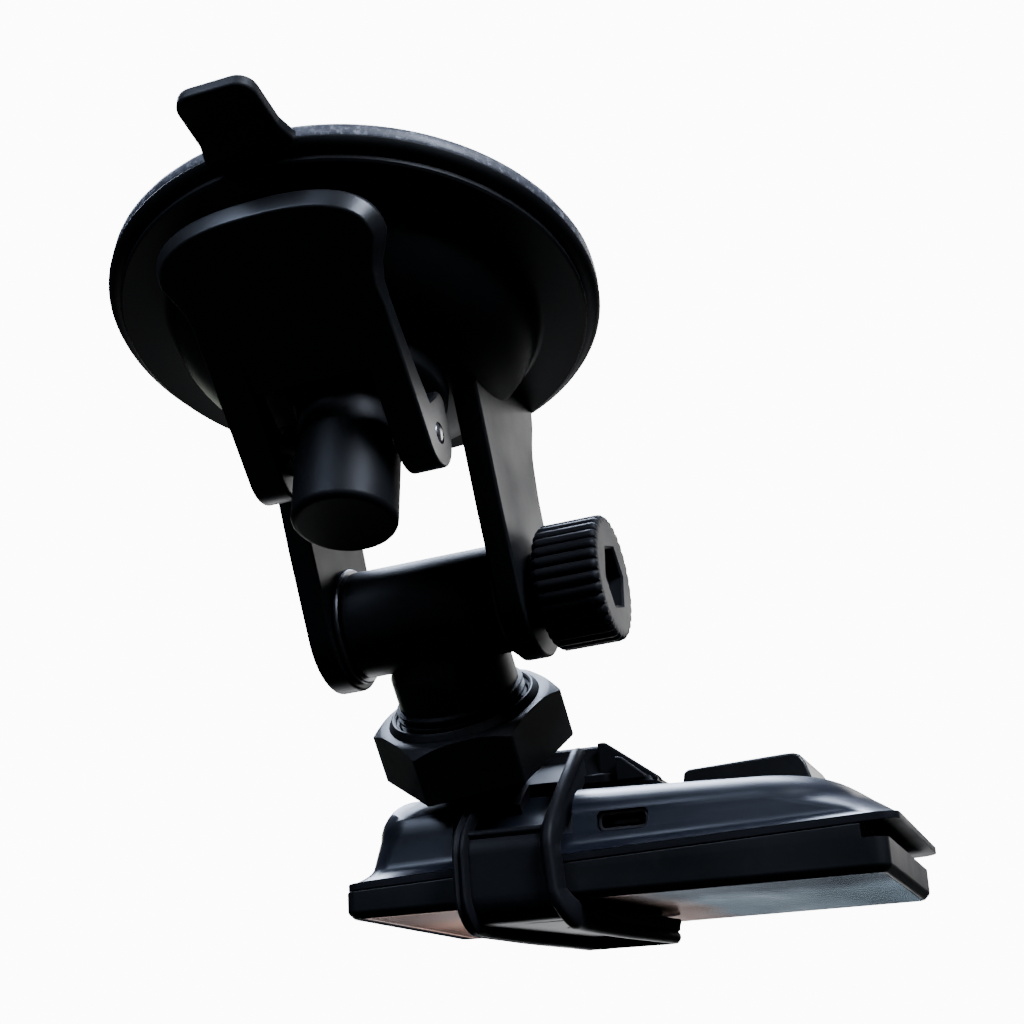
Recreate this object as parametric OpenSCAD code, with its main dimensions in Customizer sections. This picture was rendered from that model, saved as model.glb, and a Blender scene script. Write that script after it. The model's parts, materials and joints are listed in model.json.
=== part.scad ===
// Dash camera on a windscreen suction mount with a ball joint. Millimetres.
// Origin: centre of the suction face. +Z points into the glass, +X runs along the hinge bolt
// towards the knob, and the lever's tip points to -Y.
// The camera has a frame of its own: x along its length, y from its near side to its far
// side, z from the screen to the back, with its origin at the screen's near right corner.

/* [Suction cup] */
// Radius of the suction disc
cup_r = 35; // [34.5:0.5:37]
// Thickness of the sticky gel layer
gel_t = 2.2; // [1.8:0.1:2.4]
// Thickness of the rubber disc behind the gel
disc_t = 1.6; // [1.4:0.1:1.6]
// Radius of the housing's base flange
flange_r = 33.1; // [32.5:0.1:33.5]
// Radius of the dome where it leaves the flange
dome_r = 26; // [25.5:0.1:26.5]
// Width of the release tab
tab_w = 11; // [9:0.5:14]
// Distance from the cup's centre to the tab's end
tab_reach = 45.5; // [42:0.5:48]

/* [Lock lever] */
// Depth of the lever pin below the suction face
pin_depth = 27.4; // [27.3:0.05:27.5]
// Angle of the locked lever above level
lever_lock = 30; // [29:1:31]
// Distance from the pin to the lever's tip
lever_len = 36.8; // [36:0.2:38]
// Width across the lever's paddle
lever_w = 32.4; // [30:0.2:34]
// Radius of the pull post
post_r = 7.2; // [7.0:0.05:7.2]
// Depth of the post's end below the suction face
post_depth = 39; // [38.4:0.1:39.4]

/* [Yoke and hinge] */
// Hinge bolt's distance behind the cup's axis
hinge_y = 31; // [31:0.5:32]
// Hinge bolt's depth below the suction face
hinge_depth = 35.3; // [35:0.1:36]
// Outer width across the two yoke arms
yoke_w = 33; // [33:0.1:33.4]
// Thickness of one yoke arm
arm_t = 3.8; // [3.7:0.05:3.8]
// Radius of the hinge barrel
barrel_r = 7.9; // [7.6:0.1:8.1]
// Radius of the knurled knob
knob_r = 9.2; // [9:0.1:9.6]
// Number of grooves round the knob
knob_grooves = 32; // [24:2:36]

/* [Ball joint] */
// Angle of the stem below level
stem_drop = 38.5; // [38:0.5:39]
// Distance from the hinge bolt to the ball's centre
ball_reach = 21; // [21:0.1:21.3]
// Radius of the ball
ball_r = 8.5; // [8.4:0.1:8.5]
// Width of the collar nut across its corners
collar_w = 29.4; // [28.4:0.1:29.4]

/* [Camera] */
// Length of the camera
cam_len = 78.8; // [78.4:0.1:79]
// Width of the camera from its near side to its far side
cam_w = 48.7; // [48.5:0.1:48.9]
// Height of the cover's crown above the screen
crown_h = 17.3; // [17.2:0.05:17.3]
// Thickness of the bezel at the right end
bezel_end_h = 4.7; // [4.5:0.1:4.9]
// Diameter of a control button
button_d = 2.4; // [2.2:0.1:2.5]

/* [Hidden] */
$fn = 64;
eps = 0.1;
run_gap = 0.05;

// Levels below the suction face
disc_top = -gel_t;
flange_top = disc_top - disc_t;
flange_low = flange_top - 1.2;
tab_x = 0.4;
tab_rise = 1.5;
dome_rise = 13.8;
boss_r = 13.5;
boss_low = -20.4;
roof_low = -16.4;
wall_t = 2.4;
post_step = -15.5;
plate_low = -9;
plate_top = -7.4;
plate_r = 14;
shank_r = 3.5;
spring_r = 8.5;
wire_r = 0.55;
spring_turns = 4;

// Lever
leg_in = post_r + 1.2;
leg_out = 13.4;
cam_r = 4.7;
lobe_r = 2;
lobe_reach = 6.6;
paddle_t = 3;
slot_end = 12;
pin_r = 1.5;

// Hinge
hinge = [0, hinge_y, -hinge_depth];
arm_lean = 35.3;
arm_in = yoke_w / 2 - arm_t;
arm_end_r = 9.6;
bolt_r = 2.5;
bolt_gap_r = bolt_r + 0.1;
nut_af = 8;
washer_t = 0.8;
washer_r = 8.6;
barrel_half = arm_in - 0.15 - washer_t;
knob_in = yoke_w / 2 + 1.5;
knob_out = knob_in + 9.8;
head_in = knob_out - 5.5;
head_t = 3.5;

// Ball joint, measured along the stem from the hinge bolt
neck_r = 9.15;
seat_t = 0.5;
seat_in = ball_r + run_gap;
seat_out = seat_in + seat_t;
seat_bore = seat_out + run_gap;
thread_r = 9.8;
thread_start = 12.9;
thread_pitch = 1.2;
collar_bore = 9.95;
collar_top = 14.6;
hex_top = 15.6;
hex_low = 24.4;
collar_phase = 48.6;

// Camera placement and outline
cam_pos = [59.07, 47.99, -77.8];
cam_turn = [15.4, 2.4, 1.2];
split_h = 8;
split_tilt = 2.1;
flange_t = 1.1;
shell_t = 1.8;
shoulder_r = 6;
ball_cam = [-60.17, 7.94, 25.95];
facet_tilt = 36.1;
lens_pos = [-21.2, 25];
button_z = 2.75;
card_x = [-26, -15];

// Cradle section, in the camera's y-z plane
claw_x = [-60.9, -45.2];
rail_w = 2.5;
plate_t = 1.5;
rail_t = 3;
jaw_rim_t = 3.6;
ridge_h = 3.6;
jaw_top = -0.9;
web_in = -0.5;
bend_r = 2.3;
kink_z = 8.2;
facet_len = 21.5;

function polar(r, a) = [r * cos(a), r * sin(a)];
function arm_point(along, across) = [
    hinge_y - along * sin(arm_lean) + across * cos(arm_lean),
    -hinge_depth + along * cos(arm_lean) + across * sin(arm_lean)];
function facet_point(s, o) = [
    web_in + s * cos(facet_tilt) - o * sin(facet_tilt),
    kink_z + s * sin(facet_tilt) + o * cos(facet_tilt)];
function claw_line(o) = concat(
    [[9, jaw_top - o]],
    [for (a = [270:-15:180]) [web_in + bend_r, jaw_top + bend_r] + polar(bend_r + o, a)],
    [[web_in - o, kink_z + 0.51 * o], facet_point(facet_len, o)]);
function ridge_line() = concat(
    [for (i = [0:7]) claw_line(rail_t)[i]],
    [[-3.3, 9.4], [-2.4, 11.6], facet_point(4.5, ridge_h), facet_point(18, ridge_h),
        facet_point(20.5, plate_t)]);
function reversed(list) = [for (i = [len(list) - 1:-1:0]) list[i]];
function crown(x) = crown_h - 0.034 * (x + cam_len - 7);

module at_hinge() { translate(hinge) children(); }
module along_x(x0, x1, r) { translate([x0, 0, 0]) rotate([0, 90, 0]) cylinder(h = x1 - x0, r = r); }
module at_lever() { translate([0, 0, -pin_depth]) rotate([-lever_lock, 0, 0]) children(); }
module at_stem() { at_hinge() rotate([-90 - stem_drop, 0, 0]) children(); }
module at_ball() { at_stem() translate([0, 0, ball_reach]) children(); }
module at_camera() { translate(cam_pos) rotate(cam_turn) children(); }
module ball_in_camera() { translate(ball_cam) rotate([-90 - stem_drop - cam_turn[0], 0, 0]) children(); }
module on_split() { translate([0, 0, split_h]) rotate([0, -split_tilt, 0]) children(); }
module extrude_x(x0, x1) {
    translate([x0, 0, 0]) rotate([90, 0, 90]) linear_extrude(height = x1 - x0) children();
}
module block(x, y, z) {
    translate([x[0], y[0], z[0]]) cube([x[1] - x[0], y[1] - y[0], z[1] - z[0]]);
}
module rounded_plan(x, y, r_left, r_right) {
    difference() {
        translate([x[0], y[0]]) square([x[1] - x[0], y[1] - y[0]]);
        for (side = [0, 1]) {
            corner_cut([x[0], y[side]], [1, 1 - 2 * side], r_left);
            corner_cut([x[1], y[side]], [-1, 1 - 2 * side], r_right);
        }
    }
}
module corner_cut(p, dir, r) {
    translate(p) difference() {
        translate([dir[0] > 0 ? -1 : -r, dir[1] > 0 ? -1 : -r]) square(r + 1);
        translate([dir[0] * r, dir[1] * r]) circle(r = r);
    }
}

// ---- Suction cup -------------------------------------------------------------------------
module gel_pad() {
    color([0.45, 0.46, 0.48]) rotate_extrude($fn = 96)
        polygon([[0, 0], [cup_r - 0.5, 0], [cup_r, -0.5], [cup_r, disc_top], [0, disc_top]]);
}
module suction_disc() {
    color([0.06, 0.06, 0.065]) {
        rotate_extrude($fn = 96) polygon([[0, disc_top], [cup_r, disc_top],
            [cup_r - 0.7, disc_top - 0.9], [cup_r - 1.4, flange_top], [0, flange_top]]);
        translate([0, 0, flange_top + 0.4]) linear_extrude(height = disc_t - 0.4) tab_plan();
        translate([0, 0, disc_top - eps]) linear_extrude(height = tab_rise) intersection() {
            tab_plan();
            translate([-tab_w, -tab_reach]) square([2 * tab_w, tab_reach - cup_r - 0.6]);
        }
    }
}
module tab_plan() {
    translate([tab_x, 0]) {
        translate([-tab_w / 2, -tab_reach + 2]) square([tab_w, tab_reach - 32]);
        translate([-tab_w / 2 + 2, -tab_reach]) square([tab_w - 4, 3]);
        for (side = [-1, 1]) translate([side * (tab_w / 2 - 2), -tab_reach + 2]) circle(r = 2);
    }
}
dome_turn = acos(boss_r / dome_r);
module yoke_housing() {
    color([0.07, 0.07, 0.075]) difference() {
        union() {
            rotate_extrude($fn = 96) polygon(concat(
                [[0, flange_top], [flange_r, flange_top], [flange_r, flange_low + 0.3],
                    [flange_r - 0.3, flange_low], [dome_r + 0.3, flange_low]],
                [for (i = [0:8]) let (t = dome_turn * i / 8)
                    [dome_r * cos(t), flange_low - dome_rise * sin(t)]],
                [[boss_r, boss_low + 1.4], [boss_r - 2, boss_low], [0, boss_low]]));
            for (side = [-1, 1]) yoke_arm(side);
        }
        housing_cavity();
        at_hinge() along_x(-yoke_w, yoke_w, bolt_gap_r);
        at_hinge() translate([-yoke_w / 2 - 1, 0, 0]) rotate([0, 90, 0]) rotate([0, 0, 30])
            cylinder(h = 3.8, r = (nut_af + 0.1) / sqrt(3), $fn = 6);
    }
}
module yoke_arm(side) {
    extrude_x(side > 0 ? arm_in : -yoke_w / 2, side > 0 ? yoke_w / 2 : -arm_in) {
        polygon([arm_point(0, -arm_end_r), arm_point(13, -10.1), arm_point(33, -10), [8, flange_top],
            [28.4, flange_top], arm_point(24, 15.2), arm_point(20, 11.6), arm_point(14, 9.9),
            arm_point(0, arm_end_r)]);
        translate([hinge_y, -hinge_depth]) circle(r = arm_end_r);
    }
}
module housing_cavity() {
    inner_r = dome_r - wall_t;
    roof_r = 12;
    turn = acos(roof_r / inner_r);
    rotate_extrude($fn = 96) polygon(concat(
        [[0, flange_top + 1], [inner_r, flange_top + 1]],
        [for (i = [0:8]) let (t = turn * i / 8) [inner_r * cos(t), flange_low - 11.4 * sin(t)]],
        [[roof_r, roof_low], [post_r + run_gap, roof_low], [post_r + run_gap, boss_low - 1],
            [0, boss_low - 1]]));
}

// ---- Pull post, spring and lever ---------------------------------------------------------
module pull_post() {
    color([0.08, 0.08, 0.09]) difference() {
        rotate_extrude() polygon([[0, -post_depth], [post_r - 0.9, -post_depth],
            [post_r - 0.25, -post_depth + 0.25], [post_r, -post_depth + 0.9], [post_r, post_step],
            [shank_r, post_step], [shank_r, plate_low], [plate_r, plate_low],
            [plate_r, plate_top], [0, plate_top]]);
        translate([0, 0, -pin_depth]) along_x(-cup_r, cup_r, pin_r + run_gap);
    }
}
spring_low = roof_low + 0.1 + wire_r;
spring_high = plate_low - 0.1 - wire_r;
spring_steps = 20 * spring_turns;
module return_spring() {
    sides = 8;
    points = [for (i = [0:spring_steps]) let (a = 360 * spring_turns * i / spring_steps)
        for (k = [0:sides - 1]) let (r = spring_r + wire_r * cos(360 * k / sides))
            [r * cos(a), r * sin(a), spring_low + (spring_high - spring_low) * i / spring_steps
                + wire_r * sin(360 * k / sides)]];
    rings = [for (i = [0:spring_steps - 1]) for (k = [0:sides - 1])
        [i * sides + k, (i + 1) * sides + k, (i + 1) * sides + (k + 1) % sides,
            i * sides + (k + 1) % sides]];
    caps = [[for (k = [0:sides - 1]) k],
        [for (k = [sides - 1:-1:0]) spring_steps * sides + k]];
    color([0.7, 0.7, 0.72]) polyhedron(points = points, faces = concat(rings, caps));
}
module lock_lever() {
    color([0.07, 0.07, 0.075]) at_lever() difference() {
        union() {
            translate([0, 0, -paddle_t]) linear_extrude(height = paddle_t) lever_plan();
            for (side = [-1, 1]) lever_leg(side);
        }
        along_x(-cup_r, cup_r, pin_r + 0.02);
    }
}
module lever_plan() {
    half = lever_w / 2;
    shoulder = 29;
    tip = [for (a = [0:10:180]) [half * sign(cos(a)) * pow(abs(cos(a)), 0.8),
        -shoulder - (lever_len - shoulder) * pow(sin(a), 0.8)]];
    right = [[12.9, -slot_end], [13, -20.5], [14.2, -24.5]];
    left = [for (p = reversed(right)) [-p[0], p[1]]];
    polygon(concat(right, tip, left));
}
module lever_leg(side) {
    extrude_x(side > 0 ? leg_in : -leg_out, side > 0 ? leg_out : -leg_in) {
        circle(r = cam_r);
        rotate(90 + lever_lock) {
            translate([0, -lobe_r]) square([lobe_reach - lobe_r, 2 * lobe_r]);
            translate([lobe_reach - lobe_r, 0]) circle(r = lobe_r);
        }
        polygon([[-0.5, -cam_r + 0.1], [-slot_end - 3, -paddle_t], [-slot_end - 3, 0],
            [-slot_end + 2, 0], [-2.5, cam_r - 1]]);
    }
}
module lever_pin() {
    color([0.75, 0.75, 0.76]) translate([0, 0, -pin_depth]) along_x(-leg_out, leg_out, pin_r);
}

// ---- Hinge -------------------------------------------------------------------------------
module hinge_barrel() {
    color([0.06, 0.06, 0.06]) difference() {
        union() {
            at_hinge() along_x(-barrel_half, barrel_half, barrel_r);
            at_stem() rotate_extrude() polygon(concat(
                [[0, 0], [6.5, 3], [neck_r, 8], [neck_r, thread_start]],
                [for (i = [0:2]) let (d = thread_start + i * thread_pitch)
                    each [[thread_r, d + 0.25], [thread_r, d + 0.55], [neck_r, d + 0.8],
                        [neck_r, d + thread_pitch]]],
                [[neck_r, 17], [0, 17]]));
        }
        at_hinge() along_x(-cup_r, cup_r, bolt_gap_r);
        at_ball() sphere(r = seat_bore);
    }
}
module friction_washers() {
    color([0.55, 0.55, 0.56]) for (side = [-1, 1]) at_hinge() difference() {
        along_x(side > 0 ? barrel_half : -barrel_half - washer_t,
            side > 0 ? barrel_half + washer_t : -barrel_half, washer_r);
        along_x(-cup_r, cup_r, bolt_gap_r);
    }
}
module tension_knob() {
    color([0.08, 0.08, 0.085]) at_hinge() difference() {
        union() {
            along_x(yoke_w / 2 + eps, knob_in + 0.5, 5.5);
            along_x(knob_in, knob_out - 0.5, knob_r);
            along_x(knob_out - 0.6, knob_out, knob_r - 0.5);
        }
        for (i = [0:knob_grooves - 1]) rotate([360 * i / knob_grooves, 0, 0])
            translate([0, 0, knob_r + 0.25]) along_x(knob_in - 1, knob_out - 1.2, 0.55, $fn = 16);
        along_x(0, knob_out, bolt_r + run_gap);
        hex_x(head_in - eps, knob_out + 1, nut_af + 0.2);
    }
}
module hex_x(x0, x1, across_flats) {
    translate([x0, 0, 0]) rotate([0, 90, 0])
        cylinder(h = x1 - x0, r = across_flats / sqrt(3), $fn = 6);
}
module hinge_bolt() {
    color([0.72, 0.72, 0.74]) at_hinge() {
        along_x(-yoke_w / 2 + 0.1, head_in + 0.5, bolt_r);
        hex_x(head_in, head_in + head_t, nut_af);
    }
}
module hinge_nut() {
    color([0.72, 0.72, 0.74]) at_hinge() difference() {
        translate([-yoke_w / 2 + 0.1, 0, 0]) rotate([0, 90, 0]) rotate([0, 0, 30])
            cylinder(h = 2.6, r = nut_af / sqrt(3), $fn = 6);
        along_x(-cup_r, 0, bolt_r + run_gap);
    }
}

// ---- Ball joint --------------------------------------------------------------------------
module collar_nut() {
    color([0.065, 0.065, 0.07]) at_stem() difference() {
        intersection() {
            rotate([0, 0, collar_phase]) translate([0, 0, collar_top])
                cylinder(h = hex_low - collar_top, r = collar_w / 2, $fn = 6);
            rotate_extrude() polygon([[0, collar_top], [11, collar_top], [11.7, hex_top],
                [13.1, hex_top], [collar_w / 2 + 1, hex_top + 2.3],
                [collar_w / 2 + 1, hex_low + 1], [0, hex_low + 1]]);
        }
        rotate_extrude() polygon([[0, collar_top - 1], [10.6, collar_top - 1], [10.6, collar_top],
            [collar_bore, collar_top + 0.7], [collar_bore, ball_reach - 0.5], [0, ball_reach - 0.5]]);
        translate([0, 0, ball_reach]) sphere(r = seat_bore);
    }
}
module seat_band(z0, z1) {
    intersection() {
        difference() {
            sphere(r = seat_out);
            sphere(r = seat_in);
        }
        translate([0, 0, z0]) cylinder(h = z1 - z0, r = 2 * ball_r);
    }
}
module upper_seat() { color([0.85, 0.85, 0.8]) at_ball() seat_band(-7, -4.3); }
module lower_seat() { color([0.85, 0.85, 0.8]) at_ball() seat_band(0.5, 2.8); }

// ---- Cradle ------------------------------------------------------------------------------
module claw_plate() {
    extrude_x(claw_x[0], claw_x[1]) polygon(concat(claw_line(0), reversed(claw_line(plate_t))));
}
module claw_rail(x0) {
    extrude_x(x0, x0 + rail_w) polygon(concat(claw_line(0), reversed(ridge_line())));
}
module jaw_plan(margin) {
    // The jaw leans to the right as it runs under the screen.
    hull() {
        translate([claw_x[0] + 3.2, 5]) circle(r = 2.5 - margin, $fn = 32);
        translate([claw_x[1] - 0.4, 5]) circle(r = 2.5 - margin, $fn = 32);
        translate([-49.5, 35.5]) circle(r = 4.5 - margin, $fn = 32);
        translate([-42, 36]) circle(r = 4.5 - margin, $fn = 32);
    }
}
module cradle() {
    color([0.065, 0.065, 0.07]) {
        at_camera() difference() {
            union() {
                claw_plate();
                claw_rail(claw_x[0]);
                claw_rail(claw_x[1] - rail_w);
                translate([0, 0, jaw_top - plate_t]) linear_extrude(height = plate_t) jaw_plan(0);
                translate([0, 0, jaw_top - jaw_rim_t]) linear_extrude(height = jaw_rim_t) difference() {
                    jaw_plan(0);
                    jaw_plan(2);
                }
                cradle_block();
                block([-66, -40], [14, 40], [18, 19.6]);
            }
            extrude_x(claw_x[0] + rail_w, claw_x[1] - rail_w)
                polygon([facet_point(1.6, -1), facet_point(9.5, -1), facet_point(9.5, 4),
                    facet_point(1.6, 4)]);
            translate([-48, 15.4, -10]) cylinder(h = 11, r = 1.6);
        }
        at_ball() {
            sphere(r = ball_r);
            translate([0, 0, 5]) cylinder(h = 3, r1 = 4.2, r2 = 4.6);
            translate([0, 0, 6.8]) cylinder(h = 1.9, r = 6);
        }
    }
}
module cradle_block() {
    hull() {
        block([-64.5, -42], [16.5, 20], [23, 24.4]);
        block([-66, -34], [14.5, 31], [18, 18.6]);
    }
}
module back_pad() { color([0.05, 0.05, 0.05]) at_camera() block([-61, -42], [15, 38], [17.2, 18]); }
module jaw_pad() {
    color([0.05, 0.05, 0.05]) at_camera() translate([0, 0, jaw_top]) linear_extrude(height = 0.7)
        intersection() {
            jaw_plan(3);
            translate([-62, 6]) square([30, 40]);
        }
}

// ---- Camera housing ----------------------------------------------------------------------
module cover_form(inset) {
    // One smooth closed form from the split line to the crown.
    top_r = shoulder_r - inset;
    x_low = -cam_len + 1.5 + inset;
    hull() {
        for (y = [3 + inset - 0.3, cam_w - 3 - inset + 0.3]) {
            translate([x_low + 3, y, split_h - 2.6 - 5 * (inset > 0 ? 1 : 0)])
                cylinder(h = 1 + 5 * (inset > 0 ? 1 : 0), r = 3, $fn = 32);
            translate([-1.6 - inset, y, split_h - 5 * (inset > 0 ? 1 : 0)])
                cylinder(h = 0.7 + 5 * (inset > 0 ? 1 : 0), r = 3, $fn = 32);
        }
        for (y = [2 + shoulder_r, cam_w - 3 - shoulder_r]) {
            translate([-cam_len + 3.4 + shoulder_r, y, crown_h - shoulder_r]) sphere(r = top_r, $fn = 32);
            translate([-4.6 - shoulder_r, y, crown(-11) - shoulder_r]) sphere(r = top_r, $fn = 32);
        }
    }
}
module saddle_cut(margin) {
    // Room for the cradle's sloping plate and rails.
    extrude_x(claw_x[0] - 1.2 - margin, claw_x[1] + 1.2 + margin)
        polygon([facet_point(-9, -0.3 - margin), facet_point(15, -0.3 - margin), facet_point(15, 14),
            facet_point(-9, 14)]);
}
module rear_cover() {
    color([0.13, 0.14, 0.18]) at_camera() difference() {
        cover_form(0);
        difference() {
            cover_form(shell_t);
            saddle_cut(shell_t);
            translate([-30.8, 14, 13]) cube([18.8, 22, 8]);
        }
        saddle_cut(0);
        ball_in_camera() cylinder(h = 6, r = collar_w / 2 + 1.2);
        ball_in_camera() cylinder(h = 9, r = 6.3);
        on_split() translate([-cam_len - 9, -9, -9]) cube([cam_len + 20, cam_w + 18, 9]);
        translate([lens_pos[0], lens_pos[1], 0]) cylinder(h = 30, r = 6.7);
        block([-40.6, -32.6], [-2, 1.6], [9, 12.3]);
        block([-40.4, -32.8], [-2, 9], [9.2, 12.1]);
        screw_places() cylinder(h = 9, r = 2.1);
        screw_places() translate([0, 0, -9]) cylinder(h = 12, r = 1.1);
    }
}
module screw_places() {
    for (p = [[-67, 36], [-33, 40], [-13, 38], [-13, 11]])
        translate([p[0], p[1], crown(p[0]) - 1.3]) children();
}
module mid_frame() {
    color([0.2, 0.2, 0.22]) at_camera() on_split() translate([0, 0, -flange_t])
        linear_extrude(height = flange_t) difference() {
            rounded_plan([-cam_len + 0.1, 1.8], [-0.1, cam_w + 0.1], 2.6, 2.5);
            rounded_plan([-cam_len + 4.5, -4], [3, cam_w - 3], 2, 2);
        }
}
module front_bezel() {
    color([0.09, 0.09, 0.1]) at_camera() difference() {
        linear_extrude(height = split_h) rounded_plan([-cam_len, 0], [0, cam_w], 2.6, 2.2);
        on_split() translate([-cam_len - 9, -9, -flange_t]) cube([cam_len + 20, cam_w + 18, 9]);
        block([-3.5, 1], [-1, cam_w + 1], [bezel_end_h, 9]);
        block([-cam_len + 2, -4], [2, cam_w - 2], [1.2, 9]);
        translate([0, 0, -1]) linear_extrude(height = 2.2)
            rounded_plan([-cam_len + 1.2, -1.1], [1.1, cam_w - 1.1], 1.6, 1.4);
        for (x = button_x) at_button(x) cylinder(h = 9, r = button_d / 2 + 0.1, center = true);
        block([card_x[0] - 0.3, card_x[1] + 0.3], [cam_w - 3, cam_w + 1], [4.3, 5.5]);
    }
}
module screen_glass() {
    color([0.55, 0.6, 0.66]) at_camera() linear_extrude(height = 1.1)
        rounded_plan([-cam_len + 1.3, -1.2], [1.2, cam_w - 1.2], 1.5, 1.3);
}
module lcd_panel() { color([0.3, 0.32, 0.36]) at_camera() block([-68, -9], [4.5, 43], [1.2, 3.8]); }
module lens_housing() {
    color([0.05, 0.05, 0.055]) at_camera() difference() {
        hull() {
            for (x = [-30.3, -11.8])
                block([x, x + 0.2], [14.5, 35.5], [crown(x) + 0.12, crown(x) + 0.2]);
            block([-30, -29], [14.7, 35], [18.8, 18.9]);
            block([-15, -12.9], [14.7, 35], [19.5, 19.7]);
        }
        translate([lens_pos[0], lens_pos[1], 0]) cylinder(h = 30, r = 6.7);
    }
}
module lens_barrel() {
    color([0.1, 0.1, 0.11]) at_camera() translate([lens_pos[0], lens_pos[1], 9.4]) difference() {
        cylinder(h = 9.8, r = 6.5);
        translate([0, 0, 7.8]) cylinder(h = 3, r1 = 4.9, r2 = 6.1);
        translate([0, 0, 1.2]) cylinder(h = 8, r = 4.9);
    }
}
module lens_glass() {
    color([0.2, 0.25, 0.35]) at_camera() translate([lens_pos[0], lens_pos[1], 0]) intersection() {
        translate([0, 0, 9]) sphere(r = 9.3);
        translate([0, 0, 16.4]) cylinder(h = 3, r = 4.8);
    }
}

// ---- Camera contents ---------------------------------------------------------------------
module sensor_board() { color([0.1, 0.35, 0.2]) at_camera() block([-28.5, -14], [18, 32], [8.2, 9.3]); }
module main_board() { color([0.1, 0.35, 0.2]) at_camera() block([-50, -8], [6, 43], [5.8, 6.8]); }
module battery() { color([0.75, 0.76, 0.78]) at_camera() block([-64.5, -40], [17, 41], [8.4, 13.2]); }
module speaker() {
    color([0.25, 0.25, 0.25]) at_camera() translate([-60, 30, 4.6]) cylinder(h = 3, r = 7);
}
module microphone() { color([0.6, 0.6, 0.6]) at_camera() translate([-20, 10, 6.8]) cylinder(h = 2, r = 2); }
module usb_socket() {
    color([0.75, 0.75, 0.76]) at_camera() difference() {
        block([-40.3, -32.9], [2.6, 8.8], [9.3, 12]);
        block([-40.05, -33.15], [1, 8], [9.7, 11.6]);
    }
}
module card_socket() {
    color([0.75, 0.75, 0.76]) at_camera() difference() {
        block([card_x[0] - 0.7, card_x[1] + 0.7], [31, 46.4], [4, 5.8]);
        block([card_x[0] - 0.2, card_x[1] + 0.2], [32, 47], [4.3, 5.5]);
    }
}
module memory_card() {
    color([0.1, 0.1, 0.1]) at_camera() block(card_x, [34.2, cam_w + 0.5], [4.4, 5.4]);
}
button_x = [-70, -63, -56, -49, -38];
module at_button(x) { translate([x, cam_w - 2, button_z]) rotate([-90, 0, 0]) children(); }
module button(i) {
    color([0.12, 0.12, 0.13]) at_camera() at_button(button_x[i]) {
        translate([0, 0, -0.6]) cylinder(h = 3.3, r = button_d / 2);
        translate([0, 0, -1.4]) cylinder(h = 0.8, r = button_d / 2 + 0.2);
    }
}
module case_screws() {
    color([0.3, 0.3, 0.31]) at_camera() screw_places() {
        cylinder(h = 1, r = 1.9);
        translate([0, 0, -4]) cylinder(h = 4.5, r = 1);
    }
}

gel_pad();
suction_disc();
yoke_housing();
pull_post();
return_spring();
lock_lever();
lever_pin();
hinge_barrel();
friction_washers();
tension_knob();
hinge_bolt();
hinge_nut();
collar_nut();
upper_seat();
lower_seat();
cradle();
back_pad();
jaw_pad();
rear_cover();
mid_frame();
front_bezel();
screen_glass();
lcd_panel();
lens_housing();
lens_barrel();
lens_glass();
sensor_board();
main_board();
battery();
speaker();
microphone();
usb_socket();
card_socket();
memory_card();
button(4);  // power_button
button(0);  // menu_button
button(1);  // up_button
button(2);  // down_button
button(3);  // ok_button
case_screws();
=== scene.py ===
"""Looks for the dash camera and its windscreen mount.

Outlines are in millimetres, in the frame of the piece they belong to, and place() puts them in the row
frame in metres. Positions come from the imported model's joints and boxes.
"""
import bmesh
import bpy
import json
import math
from mathutils import Euler, Matrix, Vector, noise

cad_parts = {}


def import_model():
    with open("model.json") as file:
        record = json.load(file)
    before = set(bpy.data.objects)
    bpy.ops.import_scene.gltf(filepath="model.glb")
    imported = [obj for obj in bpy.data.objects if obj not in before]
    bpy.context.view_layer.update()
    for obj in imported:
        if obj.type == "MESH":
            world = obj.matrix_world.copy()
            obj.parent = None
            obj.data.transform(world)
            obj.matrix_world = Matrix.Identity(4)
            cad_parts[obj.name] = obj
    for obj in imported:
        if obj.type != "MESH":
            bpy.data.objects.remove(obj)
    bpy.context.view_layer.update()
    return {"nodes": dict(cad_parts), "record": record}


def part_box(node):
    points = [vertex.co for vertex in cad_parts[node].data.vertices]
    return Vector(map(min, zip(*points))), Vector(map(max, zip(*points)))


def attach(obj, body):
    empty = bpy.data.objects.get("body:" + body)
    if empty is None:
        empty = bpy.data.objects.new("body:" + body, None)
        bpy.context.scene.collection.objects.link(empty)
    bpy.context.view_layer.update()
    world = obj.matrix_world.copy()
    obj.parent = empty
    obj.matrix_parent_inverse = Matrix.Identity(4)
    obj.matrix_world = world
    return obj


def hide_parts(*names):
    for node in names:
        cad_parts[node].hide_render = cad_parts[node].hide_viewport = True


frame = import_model()
MM = 0.001
JOINTS = {joint["name"]: joint for joint in frame["record"]["behaviour"]["joints"]}


# ---- Frames -------------------------------------------------------------------------------
def frame_at(origin, x_axis, z_axis):
    """A frame with its origin in metres, whose local units are millimetres."""
    z = Vector(z_axis).normalized()
    y = z.cross(Vector(x_axis)).normalized()
    turn = Matrix((y.cross(z), y, z)).transposed().to_4x4()
    return Matrix.Translation(Vector(origin)) @ turn @ Matrix.Scale(MM, 4)


def box_mm(node):
    low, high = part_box(node)
    return low / MM, high / MM


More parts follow.
